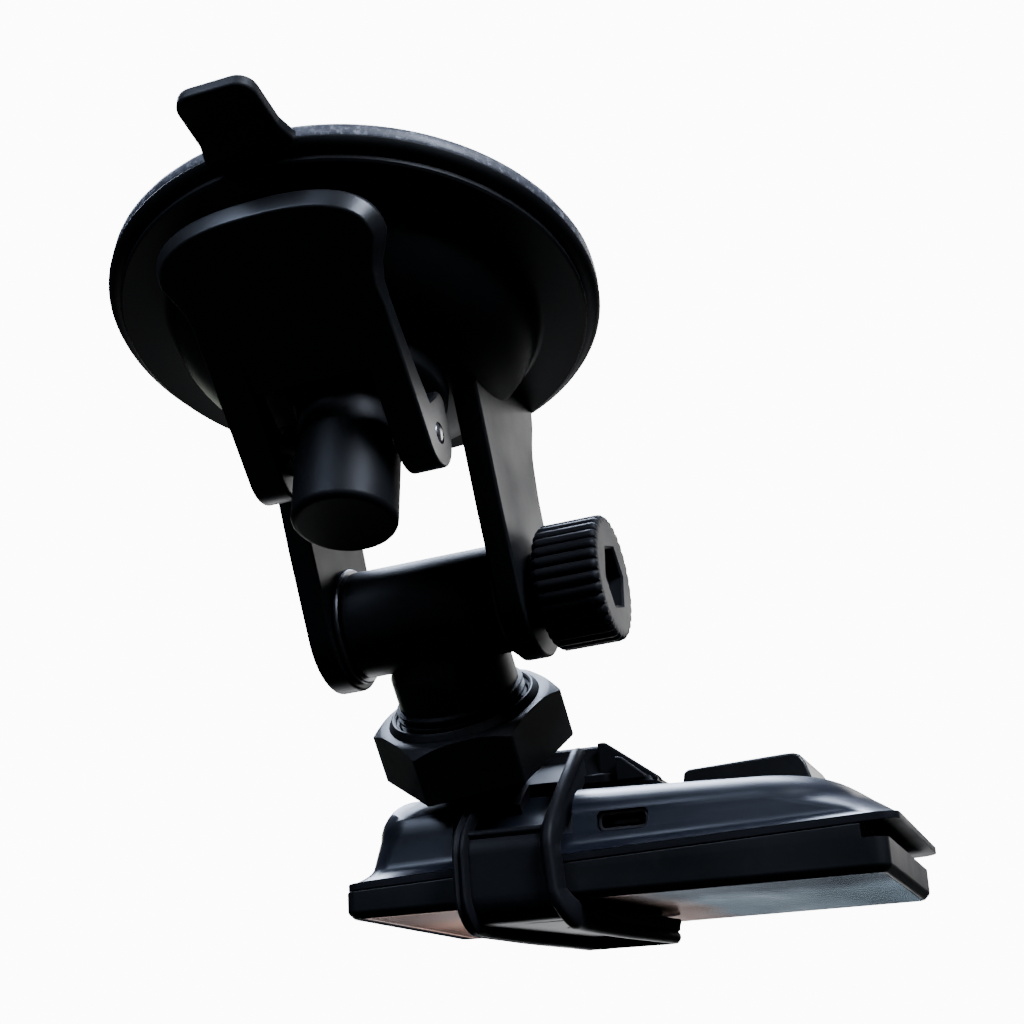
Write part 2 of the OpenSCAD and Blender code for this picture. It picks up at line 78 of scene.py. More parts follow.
LEVER_LOCK = math.radians(30)
CAMERA_ORIGIN = Vector((59.07, 47.99, -77.8)) * MM
CAMERA_TURN = [math.radians(a) for a in (15.4, 2.4, 1.2)]
hinge_at = Vector(JOINTS["stem_tilt"]["pos_m"])
ball_at = Vector(JOINTS["ball_swivel"]["pos_m"])
pin_at = Vector(JOINTS["lever_swing"]["pos_m"])
stem_axis = Vector(JOINTS["ball_swivel"]["axis"])
ROW = Matrix.Scale(MM, 4)
HINGE = frame_at(hinge_at, (0, 1, 0), (1, 0, 0))
PIN = frame_at(pin_at, (0, 1, 0), (1, 0, 0))
LEVER = Matrix.Translation(pin_at) @ Matrix.Rotation(-LEVER_LOCK, 4, "X") @ Matrix.Scale(MM, 4)
STEM = frame_at(hinge_at, (1, 0, 0), stem_axis)
BALL = frame_at(ball_at, (1, 0, 0), stem_axis)
CAMERA = Matrix.Translation(CAMERA_ORIGIN) @ Euler(CAMERA_TURN).to_matrix().to_4x4() @ Matrix.Scale(MM, 4)
# Turns for prisms drawn in the y-z plane and run along x, or drawn in the x-z plane and run along y.
ALONG_X = Matrix(((0, 0, 1, 0), (1, 0, 0, 0), (0, 1, 0, 0), (0, 0, 0, 1)))
ALONG_Y = Matrix(((1, 0, 0, 0), (0, 0, 1, 0), (0, 1, 0, 0), (0, 0, 0, 1)))


# ---- Outlines -----------------------------------------------------------------------------
def polar(radius, degrees, centre=(0, 0)):
    a = math.radians(degrees)
    return centre[0] + radius * math.cos(a), centre[1] + radius * math.sin(a)


def arc(centre, radius, start, end, steps):
    return [polar(radius, start + (end - start) * i / steps, centre) for i in range(steps + 1)]


def rounded(corners, steps=6):
    """A closed outline from (x, y, radius) corners, each rounded to its radius."""
    outline = []
    for i, (x, y, radius) in enumerate(corners):
        here = Vector((x, y))
        before = Vector(corners[i - 1][:2]) - here
        after = Vector(corners[(i + 1) % len(corners)][:2]) - here
        if radius <= 0:
            outline.append((x, y))
            continue
        half = before.angle(after) / 2
        reach = min(radius / math.tan(half), 0.49 * before.length, 0.49 * after.length)
        true_radius = reach * math.tan(half)
        middle = (before.normalized() + after.normalized()).normalized()
        centre = here + middle * (true_radius / math.sin(half))
        start = here + before.normalized() * reach - centre
        end = here + after.normalized() * reach - centre
        first = math.atan2(start.y, start.x)
        swing = (math.atan2(end.y, end.x) - first + math.pi) % math.tau - math.pi
        for k in range(steps + 1):
            a = first + swing * k / steps
            outline.append((centre.x + true_radius * math.cos(a), centre.y + true_radius * math.sin(a)))
    return outline


def rectangle(x0, x1, y0, y1):
    return [(x0, y0), (x1, y0), (x1, y1), (x0, y1)]


def rounded_box(x0, x1, y0, y1, radius, steps=6):
    """A rectangle with the same round at each corner."""
    return rounded([(x, y, radius) for x, y in rectangle(x0, x1, y0, y1)], steps)


def hexagon(across_flats, turn=0):
    return [polar(across_flats / math.sqrt(3), 60 * i + turn) for i in range(6)]


# ---- Solids -------------------------------------------------------------------------------
def solid(mesh_bm, place, name="solid"):
    """Turns a bmesh in local millimetres into an object placed in the row frame."""
    bmesh.ops.transform(mesh_bm, matrix=place, verts=mesh_bm.verts)
    bmesh.ops.recalc_face_normals(mesh_bm, faces=mesh_bm.faces)
    mesh = bpy.data.meshes.new(name)
    mesh_bm.to_mesh(mesh)
    mesh_bm.free()
    obj = bpy.data.objects.new(name, mesh)
    bpy.context.scene.collection.objects.link(obj)
    return obj


def skin(rings):
    """Joins closed rings of equal length with quads, with a face over each end."""
    bm = bmesh.new()
    loops = [[bm.verts.new(p) for p in ring] for ring in rings]
    for a, b in zip(loops, loops[1:]):
        for i in range(len(a)):
            j = (i + 1) % len(a)
            corners = []
            for v in (a[i], a[j], b[j], b[i]):
                if v not in corners:
                    corners.append(v)
            if len(corners) > 2:
                bm.faces.new(corners)
    bm.faces.new(list(reversed(loops[0])))
    bm.faces.new(loops[-1])
    return bm


def prism(outline, low, high, place):
    return solid(skin([[(x, y, z) for x, y in outline] for z in (low, high)]), place)


def lathe(profile, place, steps=96, shape=None):
    """Turns a closed profile of (radius, height) points about the local z axis."""
    bm = bmesh.new()
    rings = []
    for r, z in profile:
        if r <= 1e-6:
            rings.append([bm.verts.new((0, 0, z))])
            continue
        ring = []
        for i in range(steps):
            radius = shape(r, z, math.tau * i / steps) if shape else r
            x, y = polar(radius, 360 * i / steps)
            ring.append(bm.verts.new((x, y, z)))
        rings.append(ring)
    for a, b in zip(rings, rings[1:] + rings[:1]):
        if len(a) == len(b) == 1:
            continue
        for i in range(steps):
            j = (i + 1) % steps
            corners = [a[i % len(a)], a[j % len(a)], b[j % len(b)], b[i % len(b)]]
            unique = [v for k, v in enumerate(corners) if v not in corners[:k]]
            bm.faces.new(unique)
    return solid(bm, place)


def bake(obj):
    """Applies every modifier."""
    bpy.context.view_layer.update()
    made = bpy.data.meshes.new_from_object(obj.evaluated_get(bpy.context.evaluated_depsgraph_get()))
    old = obj.data
    obj.modifiers.clear()
    obj.data = made
    bpy.data.meshes.remove(old)
    return obj


def bevel(obj, width, segments=3, angle=32):
    mod = obj.modifiers.new("bevel", "BEVEL")
    mod.width = width * MM
    mod.segments = segments
    mod.limit_method = "ANGLE"
    mod.angle_limit = math.radians(angle)
    return bake(obj)


def boolean(obj, operation, tools):
    for tool in tools:
        mod = obj.modifiers.new("boolean", "BOOLEAN")
        mod.operation = operation
        mod.object = tool
        mod.solver = "EXACT"
        bake(obj)
        bpy.data.objects.remove(tool)
    return obj


def join(obj, *tools):
    return boolean(obj, "UNION", tools)


def cut(obj, *tools):
    return boolean(obj, "DIFFERENCE", tools)


def keep(obj, *tools):
    return boolean(obj, "INTERSECT", tools)


def piece(obj, name, body, paint, stands_for=(), smooth=38):
    """Names a finished solid, shades it, and hands it to the frame."""
    obj.name = name
    obj.data.name = name
    bm = bmesh.new()
    bm.from_mesh(obj.data)
    bmesh.ops.remove_doubles(bm, verts=bm.verts, dist=0.004 * MM)
    bmesh.ops.recalc_face_normals(bm, faces=bm.faces)
    bm.to_mesh(obj.data)
    bm.free()
    obj.data.shade_smooth()
    obj.data.set_sharp_from_angle(angle=math.radians(smooth))
    weighted = obj.modifiers.new("weighted", "WEIGHTED_NORMAL")
    weighted.keep_sharp = True
    bake(obj)
    obj.data.materials.clear()
    obj.data.materials.append(paint)
    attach(obj, body)
    if stands_for:
        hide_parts(*stands_for)
    return obj


def cylinder(radius, low, high, place, steps=64):
    return lathe([(0, low), (radius, low), (radius, high), (0, high)], place, steps)


# ---- Materials ----------------------------------------------------------------------------
class Nodes:
    """A short way to write a node tree."""

    def __init__(self, name):
        self.material = bpy.data.materials.new(name)
        self.material.use_nodes = True
        self.tree = self.material.node_tree
        self.shader = self.tree.nodes["Principled BSDF"]
        self.place = self.add("ShaderNodeTexCoord").outputs["Object"]

    def add(self, kind, **values):
        node = self.tree.nodes.new(kind)
        for key, value in values.items():
            setattr(node, key, value)
        return node

    def link(self, source, target):
        self.tree.links.new(source, target)

    def noise(self, scale, detail=3.0, roughness=0.55, stretch=None):
        source = self.place
        if stretch:
            mapping = self.add("ShaderNodeMapping")
            mapping.inputs["Scale"].default_value = stretch
            self.link(source, mapping.inputs["Vector"])
            source = mapping.outputs["Vector"]
        node = self.add("ShaderNodeTexNoise")
        node.inputs["Scale"].default_value = scale
        node.inputs["Detail"].default_value = detail
        node.inputs["Roughness"].default_value = roughness
        self.link(source, node.inputs["Vector"])
        return node.outputs["Fac"]

    def ramp(self, source, stops):
        node = self.add("ShaderNodeValToRGB")
        ramp = node.color_ramp
        while len(ramp.elements) < len(stops):
            ramp.elements.new(0.5)
        for element, (at, colour) in zip(ramp.elements, stops):
            element.position = at
            element.color = (*colour, 1) if len(colour) == 3 else colour
        self.link(source, node.inputs["Fac"])
        return node.outputs["Color"]

    def span(self, source, low, high, start=0.0, end=1.0):
        node = self.add("ShaderNodeMapRange")
        node.inputs["From Min"].default_value = start
        node.inputs["From Max"].default_value = end
        node.inputs["To Min"].default_value = low
        node.inputs["To Max"].default_value = high
        self.link(source, node.inputs["Value"])
        return node.outputs["Result"]

    def math(self, operation, a, b):
        node = self.add("ShaderNodeMath", operation=operation)
        for socket, value in zip(node.inputs, (a, b)):
            if isinstance(value, (int, float)):
                socket.default_value = value
            else:
                self.link(value, socket)
        return node.outputs[0]

    def mix(self, factor, a, b):
        node = self.add("ShaderNodeMix", data_type="RGBA")
        for socket, value in zip((node.inputs["Factor"], node.inputs[6], node.inputs[7]), (factor, a, b)):
            if isinstance(value, (int, float)):
                socket.default_value = value
            elif isinstance(value, tuple):
                socket.default_value = (*value, 1)
            else:
                self.link(value, socket)
        return node.outputs[2]

    def bump(self, height, strength, distance_mm):
        node = self.add("ShaderNodeBump")
        node.inputs["Strength"].default_value = strength
        node.inputs["Distance"].default_value = distance_mm * MM
        self.link(height, node.inputs["Height"])
        self.link(node.outputs["Normal"], self.shader.inputs["Normal"])

    def set(self, **values):
        for key, value in values.items():
            socket = self.shader.inputs[key.replace("_", " ")]
            if isinstance(value, (int, float)):
                socket.default_value = value
            elif isinstance(value, tuple):
                socket.default_value = (*value, 1) if len(value) == 3 else value
            else:
                self.link(value, socket)


def moulded(name, colour, rough, grain=0.35, grain_size=2600, dust=0.25, level=0.5):
    """Moulded plastic: spark-eroded grain, patchy sheen, rubbed edges and a little dust."""
    n = Nodes(name)
    fine = n.noise(grain_size, 2.0, 0.6)
    patch = n.noise(60, 3.0)
    streak = n.noise(240, 4.0, 0.65, (1.0, 0.25, 0.6))
    worn = n.add("ShaderNodeNewGeometry").outputs["Pointiness"]
    edge = n.span(worn, 0.0, 1.0, 0.53, 0.62)
    lighter = tuple(min(1.0, c * 2.2 + 0.012) for c in colour)
    dusty = tuple(c * 0.75 + 0.035 for c in colour)
    base = n.mix(n.span(patch, 0.0, 0.5, 0.35, 0.7), colour, tuple(c * 1.35 for c in colour))
    base = n.mix(n.math("MULTIPLY", n.span(streak, 0.0, 1.0, 0.6, 0.85), dust), base, dusty)
    base = n.mix(n.math("MULTIPLY", edge, 0.45), base, lighter)
    rough_map = n.math("ADD", n.span(patch, rough - 0.06, rough + 0.07, 0.3, 0.7), n.span(fine, -0.03, 0.03))
    n.set(Base_Color=base, Roughness=rough_map, Specular_IOR_Level=level)
    n.bump(n.math("ADD", n.math("MULTIPLY", fine, 1.0), n.math("MULTIPLY", patch, 0.6)), grain, 0.02)
    return n.material


def metal(name, colour, rough, brush=(1.0, 1.0, 1.0), tarnish=0.3):
    n = Nodes(name)
    lines = n.noise(1800, 3.0, 0.7, brush)
    blotch = n.noise(220, 4.0)
    dark = tuple(c * 0.55 for c in colour)
    base = n.mix(n.math("MULTIPLY", n.span(blotch, 0.0, 1.0, 0.45, 0.75), tarnish), colour, dark)
    n.set(Base_Color=base, Metallic=1.0, Roughness=n.span(lines, rough - 0.08, rough + 0.12))
    n.bump(lines, 0.2, 0.01)
    return n.material


def gel_material():
    n = Nodes("gel")
    speck = n.noise(900, 6.0, 0.75)
    cloud = n.noise(110, 3.0)
    tone = n.ramp(speck, [(0.36, (0.012, 0.013, 0.018)), (0.52, (0.06, 0.063, 0.075)),
                          (0.68, (0.4, 0.41, 0.45))])
    base = n.mix(n.span(cloud, 0.1, 0.6, 0.35, 0.7), tone, (0.1, 0.105, 0.12))
    n.set(Base_Color=base, Roughness=n.span(speck, 0.35, 0.75), Coat_Weight=0.15, Coat_Roughness=0.3)
    n.bump(speck, 0.6, 0.08)
    return n.material


def rubber(name, colour, rough=0.62):
    n = Nodes(name)
    fine = n.noise(1900, 4.0, 0.6)
    bloom = n.noise(90, 3.0)
    pale = tuple(c * 1.5 + 0.008 for c in colour)
    n.set(Base_Color=n.mix(n.span(bloom, 0.0, 0.6, 0.4, 0.75), colour, pale))
    n.set(Roughness=n.span(bloom, rough - 0.1, rough + 0.08, 0.3, 0.7), Specular_IOR_Level=0.25)
    n.bump(fine, 0.3, 0.025)
    return n.material


def screen_material():
    """Dark cover glass whose colour is a painted reflection that runs from warm to cool along the screen,
    inside a black border.
    """
    n = Nodes("screen_glass")
    split = n.add("ShaderNodeSeparateXYZ")
    n.link(n.place, split.inputs["Vector"])
    low, high = box_mm("screen_glass")
    along = n.span(split.outputs["X"], 0.0, 1.0, low.x * MM, high.x * MM)
    across = n.span(split.outputs["Y"], 0.0, 1.0, low.y * MM, high.y * MM)
    smear = n.noise(35, 3.0, 0.5, (1.0, 0.4, 1.0))
    drift = n.math("ADD", along, n.span(smear, -0.1, 0.1, 0.3, 0.7))
    # painted reflection: warm on the left, pale blue-grey on the right
    painted_reflection = n.ramp(drift, [(0.0, (0.95, 0.38, 0.17)), (0.4, (0.95, 0.46, 0.27)), (0.58, (0.9, 0.6, 0.46)),
                          (0.67, (0.36, 0.47, 0.53)), (0.8, (0.5, 0.62, 0.68)), (1.0, (0.36, 0.52, 0.62))])
    # painted reflection along the near edge: warm on the left, near black on the right
    painted_edge_reflection = n.ramp(drift, [(0.0, (0.6, 0.3, 0.18)), (0.5, (0.5, 0.3, 0.22)), (0.64, (0.01, 0.02, 0.03)),
                          (1.0, (0.03, 0.06, 0.09))])
    ridge = n.math("ADD", across, n.span(smear, -0.06, 0.06, 0.3, 0.7))
    tone = n.mix(n.span(ridge, 0.0, 1.0, 0.22, 0.42), painted_edge_reflection, painted_reflection)
    border = n.span(along, 1.0, 0.0, 0.02, 0.035)
    tone = n.mix(border, tone, (0.008, 0.008, 0.008))
    gloss = n.span(smear, 0.1, 0.2, 0.3, 0.7)
    n.set(Base_Color=tone, Roughness=n.math("MAXIMUM", gloss, n.math("MULTIPLY", border, 0.85)), Metallic=1.0,
          Specular_Tint=(0.4, 0.42, 0.45))
    return n.material


def lens_material():
    n = Nodes("lens_glass")
    ring = n.add("ShaderNodeLayerWeight")
    ring.inputs["Blend"].default_value = 0.35
    # painted coating reflection: colour follows the view angle, near black face-on, purple, then green at
    # grazing
    painted_coating_reflection = n.ramp(ring.outputs["Facing"], [(0.0, (0.004, 0.004, 0.01)), (0.5, (0.02, 0.008, 0.05)),
                                           (1.0, (0.01, 0.05, 0.03))])
    smear = n.noise(300, 2.0)
    n.set(Base_Color=painted_coating_reflection, Roughness=n.span(smear, 0.03, 0.08), Coat_Weight=1.0, Coat_Roughness=0.02,
          Specular_IOR_Level=0.9)
    return n.material


def board_material():
    n = Nodes("circuit_board")
    traces = n.noise(700, 2.0, 0.5, (1.0, 0.12, 1.0))
    base = n.ramp(traces, [(0.42, (0.01, 0.07, 0.03)), (0.5, (0.02, 0.16, 0.07)),
                           (0.58, (0.01, 0.08, 0.035))])
    n.set(Base_Color=base, Roughness=0.4, Coat_Weight=0.4)
    n.bump(traces, 0.3, 0.02)
    return n.material


PAINT = {
    "gel": gel_material(),
    "disc": rubber("disc_rubber", (0.006, 0.0062, 0.007), 0.5),
    "mount": moulded("mount_plastic", (0.005, 0.0053, 0.0062), 0.5, level=0.15),
    "lever": moulded("lever_plastic", (0.005, 0.0053, 0.0062), 0.4, level=0.42),
    "knob": moulded("knob_plastic", (0.006, 0.0063, 0.008), 0.53, level=0.16),
    "cradle": moulded("cradle_plastic", (0.005, 0.0053, 0.0066), 0.5, level=0.13),
    "cover": moulded("cover_plastic", (0.007, 0.0085, 0.014), 0.36, 0.25, 3200, 0.15, 0.35),
    "frame": moulded("frame_plastic", (0.006, 0.0065, 0.008), 0.5, 0.2, 3200, 0.15, 0.12),
    "bezel": moulded("bezel_plastic", (0.005, 0.0054, 0.006), 0.45, 0.25, 3000, 0.15, 0.22),
    "button": moulded("button_plastic", (0.02, 0.02, 0.022), 0.35, 0.2),
    "lens_block": moulded("lens_plastic", (0.007, 0.0072, 0.008), 0.38, 0.4, 2200, 0.1),
    "nylon": moulded("seat_nylon", (0.62, 0.61, 0.57), 0.5, 0.25),
    "pad": rubber("pad_rubber", (0.012, 0.012, 0.012), 0.75),
    "steel": metal("plated_steel", (0.6, 0.6, 0.61), 0.26),
    "black_steel": metal("black_steel", (0.1, 0.1, 0.105), 0.34),
    "spring": metal("spring_steel", (0.5, 0.5, 0.52), 0.3),
    "tin": metal("board_metal", (0.62, 0.61, 0.6), 0.3),
    "dull_tin": metal("dull_tin", (0.16, 0.16, 0.165), 0.42),
    "foil": metal("battery_foil", (0.58, 0.58, 0.6), 0.4, (1.0, 0.1, 1.0)),
    "screen": screen_material(),
    "lens": lens_material(),
    "board": board_material(),
}


# ---- Suction cup --------------------------------------------------------------------------
def suction_cup():
    low, high = box_mm("gel_pad")
    radius, gel_low = high.x, low.z

    def ragged(r, z, angle):
        """The sticky edge is a little uneven."""
        if r < radius - 1 or z > -0.2:
            return r
        return r - 0.09 + 0.09 * noise.noise(Vector((9 * math.cos(angle), 9 * math.sin(angle), z)))

    gel = lathe([(0, 0), (radius - 1.2, 0), (radius - 0.45, -0.12), (radius - 0.1, -0.5), (radius, -1.1),
                 (radius - 0.05, gel_low + 0.3), (radius - 0.25, gel_low), (0, gel_low)], ROW, 192, ragged)
    piece(gel, "gel_disc", "mount", PAINT["gel"], ["gel_pad"])

    disc_low = box_mm("yoke_housing")[1].z
    lip = [(0, gel_low), (radius - 0.35, gel_low), (radius - 0.05, gel_low - 0.2), (radius, gel_low - 0.45),
           (radius - 0.25, gel_low - 0.9), (radius - 0.8, disc_low + 0.25), (radius - 1.5, disc_low),
           (0, disc_low)]
    disc = lathe(lip, ROW, 160)
    reach = -box_mm("suction_disc")[0].y
    tab_mid = 0.5
    tab = rounded([(tab_mid - 5.5, -reach, 2.6), (tab_mid + 5.5, -reach, 2.6), (tab_mid + 5.6, -37.2, 2.5),
                   (tab_mid + 6.9, -32.6, 0), (tab_mid - 6.9, -32.6, 0), (tab_mid - 5.6, -37.2, 2.5)], 8)
    flap = bevel(prism(tab, -3.1, -1.0, ROW), 0.55, 4)
    for row in range(3):
        y = -reach + 2.6 + 1.5 * row
        plan = rounded_box(tab_mid - 3.6, tab_mid + 3.6, y, y + 0.6, 0.3, 3)
        join(flap, bevel(prism(plan, -1.3, -0.75, ROW), 0.15, 2))
    piece(join(disc, flap), "rubber_disc", "mount", PAINT["disc"], ["suction_disc"])


def yoke_housing():
    """Flange, dome and boss turned as one, with an arm on each side for the hinge."""
    flange_top = box_mm("yoke_housing")[1].z
    flange_r = 33.1
    flange_low = flange_top - 1.2
    dome_r, rise = 26.0, 13.8
    outer = [(flange_r - 0.3, flange_top), (flange_r, flange_top - 0.25), (flange_r, flange_low + 0.3),
             (flange_r - 0.3, flange_low), (dome_r + 1.1, flange_low), (dome_r + 0.35, flange_low - 0.35)]
    outer += [(dome_r * math.cos(a), flange_low - rise * math.sin(a))
              for a in (math.radians(4 + 54.7 * i / 18) for i in range(19))]
    boss_low = -20.4
    outer += [(13.45, -17.6), (13.4, boss_low + 1.5), (13.1, boss_low + 1.0), (11.9, boss_low + 0.15),
              (11.4, boss_low), (8.1, boss_low), (7.5, boss_low + 0.35), (7.3, boss_low + 0.8)]
    inner = [(7.3, -16.4), (12.0, -16.4)]
    inner += [(23.6 * math.cos(a), flange_low - 11.4 * math.sin(a))
              for a in (math.radians(59.4 - 59.4 * i / 12) for i in range(13))]
    body = lathe(outer + inner + [(23.6, flange_top)], ROW, 160)
    hinge_y, hinge_z = hinge_at.y / MM, hinge_at.z / MM
    lean = math.radians(35.3)

    def at(along, across):
        return (hinge_y - along * math.sin(lean) + across * math.cos(lean),
                hinge_z + along * math.cos(lean) + across * math.sin(lean))

    end_r = 9.6
    base = math.degrees(lean)
    outline = arc((hinge_y, hinge_z), end_r, base + 180, base + 360, 28)
    foot = flange_low + 0.5
    back = rounded([(*at(0, end_r), 0), (*at(13, 9.85), 14), (*at(19.5, 11.2), 9), (*at(24, 14.8), 4),
                    (28.7, foot, 0), (8.6, foot, 0), (*at(33, -10), 0), (*at(13, -10.1), 0)])
    outline += back[1:]
    half_out, half_in = 16.5, 12.7
    bolt_r = 2.6
    for side in (-1, 1):
        span = sorted((side * half_in, side * half_out))
        arm = bevel(prism(outline, *span, ROW @ ALONG_X), 0.45, 3)
        join(body, arm)
    mouth_r = bolt_r + 0.6
    hole = [(0, half_in - 1), (mouth_r, half_in - 1), (mouth_r, half_in), (bolt_r, half_in + 0.35),
            (bolt_r, half_out - 0.35), (mouth_r, half_out), (mouth_r, half_out + 1), (0, half_out + 1)]
    for turn in (0, math.pi):
        cut(body, lathe(hole, HINGE @ Matrix.Rotation(turn, 4, "Y"), 48))
    cut(body, prism(hexagon(8.15), -half_out - 1, -half_out + 2.8, HINGE))
    piece(body, "cup_housing", "mount", PAINT["mount"], ["yoke_housing"])
    nut = prism(hexagon(8.0), -half_out + 0.1, -half_out + 2.7, HINGE)
    nut = bevel(nut, 0.2, 2)
    cut(nut, cylinder(2.45, -half_out - 1, -half_out + 4, HINGE))
    piece(nut, "lock_nut", "mount", PAINT["steel"], ["hinge_nut"])


# ---- Post and lever -----------------------------------------------------------------------
def pull_post():
    low, high = box_mm("pull_post")
    end, r = low.z, 7.2
    profile = [(0, end)]
    for i in range(7):
        a = math.radians(15 * i)
        profile.append((r - 1 + math.sin(a), end + 1 - math.cos(a)))
    profile += [(r, -15.5), (3.5, -15.5), (3.5, -9), (14, -9), (14, high.z), (0, high.z)]
    post = lathe(profile, ROW, 96)
    cut(post, cylinder(1.56, -10, 10, PIN, 32))
    piece(post, "post", "post", PAINT["mount"], ["pull_post"])


def lock_lever():
    half, tip, shoulder = 16.2, 36.8, 29.0

    def level(inset, z):
        """The paddle's outline at one height; the outer face is smaller, which leaves a slanted rim."""
        neck = [(13.36, -12.0, 0.0), (13.36, -20.0, 0.0), (13.5, -22.5, 0.3), (14.2, -25.0, 0.7),
                (15.4, -27.2, 1.0)]
        points = [(x - inset * share, y) for x, y, share in neck]
        for i in range(33):
            a = math.pi * i / 32
            x = (half - inset) * math.copysign(abs(math.cos(a)) ** 0.8, math.cos(a))
            points.append((x, -shoulder - (tip - inset - shoulder) * math.sin(a) ** 0.8))
        points += [(inset * share - x, y) for x, y, share in reversed(neck)]
        return [(x, y, z) for x, y in points]

    lever = bevel(solid(skin([level(1.25, -3.0), level(0.0, -0.8), level(0.0, 0.0)]), LEVER), 0.3, 3, 30)
    cam_r, lobe_r, lobe_reach = 4.7, 2.0, 6.6
    lobe_turn = 90 + math.degrees(LEVER_LOCK)
    lobe = polar(lobe_reach - lobe_r, lobe_turn)
    leg = arc((0, 0), cam_r, -94, 60, 24) + arc(lobe, lobe_r, lobe_turn - 80, lobe_turn + 80, 10)
    leg += rounded([(*polar(cam_r, 172), 0), (-9, 0.2, 4), (-20, -0.4, 0), (-20, -2.9, 0)], 4)
    for side in (-1, 1):
        span = sorted((side * 8.4, side * 13.4))
        join(lever, bevel(prism(leg, *span, LEVER @ ALONG_X), 0.45, 3, 40))
    cut(lever, cylinder(1.52, -20, 20, PIN, 32))
    piece(lever, "cam_lever", "lever", PAINT["lever"], ["lock_lever"])
    end = box_mm("lever_pin")[1].x
    pin = lathe([(0, -end - 0.25), (0.9, -end - 0.15), (1.35, -end + 0.15), (1.5, -end + 0.5),
                 (1.5, end - 0.5), (1.35, end - 0.15), (0.9, end + 0.15), (0, end + 0.25)], PIN, 40)
    piece(pin, "pivot_pin", "lever", PAINT["steel"], ["lever_pin"])


# ---- Hinge --------------------------------------------------------------------------------
def hinge_parts():
    half = box_mm("hinge_barrel")[1].x
    r = 7.9
    barrel = lathe([(0, -half), (r - 0.5, -half), (r, -half + 0.5), (r, half - 0.5), (r - 0.5, half),
                    (0, half)], HINGE)
    neck = 9.15
    profile = [(0, 0), (6.5, 2.6), (neck - 0.5, 7.0), (neck, 8.2), (neck, 12.6)]
    pitch = 1.2
    for turn in range(3):
        d = 12.9 + pitch * turn
        profile += [(neck, d), (neck + 0.6, d + 0.28), (neck + 0.65, d + 0.5), (neck + 0.05, d + 0.85)]
    profile += [(neck, 16.9), (0, 16.9)]
    stem = lathe(profile, STEM, 128)
    join(barrel, stem)
    cut(barrel, cylinder(2.6, -20, 20, HINGE, 40), lathe(arc((0, 21), 9.1, -90, 90, 24), STEM, 64))
    piece(barrel, "stem", "stem", PAINT["mount"], ["hinge_barrel"])
    low, high = box_mm("friction_washers")
    outer = (high.z - low.z) / 2
    for side, name in ((-1, "left"), (1, "right")):
        face = HINGE @ Matrix.Rotation(0 if side > 0 else math.pi, 4, "Y")
        ring = lathe([(2.6, half), (outer - 0.2, half), (outer, half + 0.2), (outer, high.x - 0.2),
                      (outer - 0.2, high.x), (2.6, high.x)], face, 72)
        piece(ring, f"friction_washer_{name}", "stem", PAINT["black_steel"],
              ["friction_washers"] if side > 0 else [])


def tension_knob():
    low, high = box_mm("tension_knob")
    r = (high.z - low.z) / 2
    front, back = high.x, low.x + 1.4
    grooves = 32

    def fluted(radius, z, angle):
        """Cuts the grip's grooves into the rim."""
        wave = abs(math.sin(grooves * angle / 2)) ** 0.55
        return radius - (0.55 * (1 - wave) if radius > 8 else 0)

    profile = [(0, back), (7.6, back), (8.6, back + 0.15), (r, back + 0.9)]
    profile += [(r, back + (front - back) * k / 6) for k in range(1, 6)]
    profile += [(r, front - 0.9), (r - 0.12, front - 0.45), (r - 0.45, front - 0.12), (7.9, front),
                (7.4, front), (0, front)]
    knob = lathe(profile, HINGE, grooves * 12, fluted)
    join(knob, lathe([(0, low.x), (5.5, low.x), (5.5, back + 0.3), (0, back + 0.3)], HINGE, 64))
    recess = front - 5.6
    cut(knob, prism(hexagon(8.25, 30), recess, front + 1, HINGE), cylinder(2.56, 0, front, HINGE, 40))
    mouth = [(0, front - 0.3), (4.75, front - 0.3), (5.3, front + 0.1), (0, front + 0.1)]
    cut(knob, lathe(mouth, HINGE @ Matrix.Rotation(math.radians(30), 4, "Z"), 6))
    piece(knob, "knurled_knob", "knob", PAINT["knob"], ["tension_knob"])
    head_low = front - 5.5
    head = prism(hexagon(8.0, 30), head_low, head_low + 3.5, HINGE)
    dome = [(0, head_low - 1), (6, head_low - 1), (6, head_low + 2.7), (3.9, head_low + 3.5),
            (0, head_low + 3.5)]
    keep(head, lathe(dome, HINGE, 64))
    dish = [(0, head_low + 3.2), (2.6, head_low + 3.2), (3.1, head_low + 3.6), (0, head_low + 3.6)]
    cut(head, lathe(dish, HINGE, 48))
    shank_end = box_mm("hinge_bolt")[0].x
    shank = [(0, shank_end), (2.1, shank_end), (2.5, shank_end + 0.4), (2.5, head_low + 0.5),
             (0, head_low + 0.5)]
    join(head, lathe(shank, HINGE, 48))
    piece(head, "clamp_bolt", "knob", PAINT["black_steel"], ["hinge_bolt"])


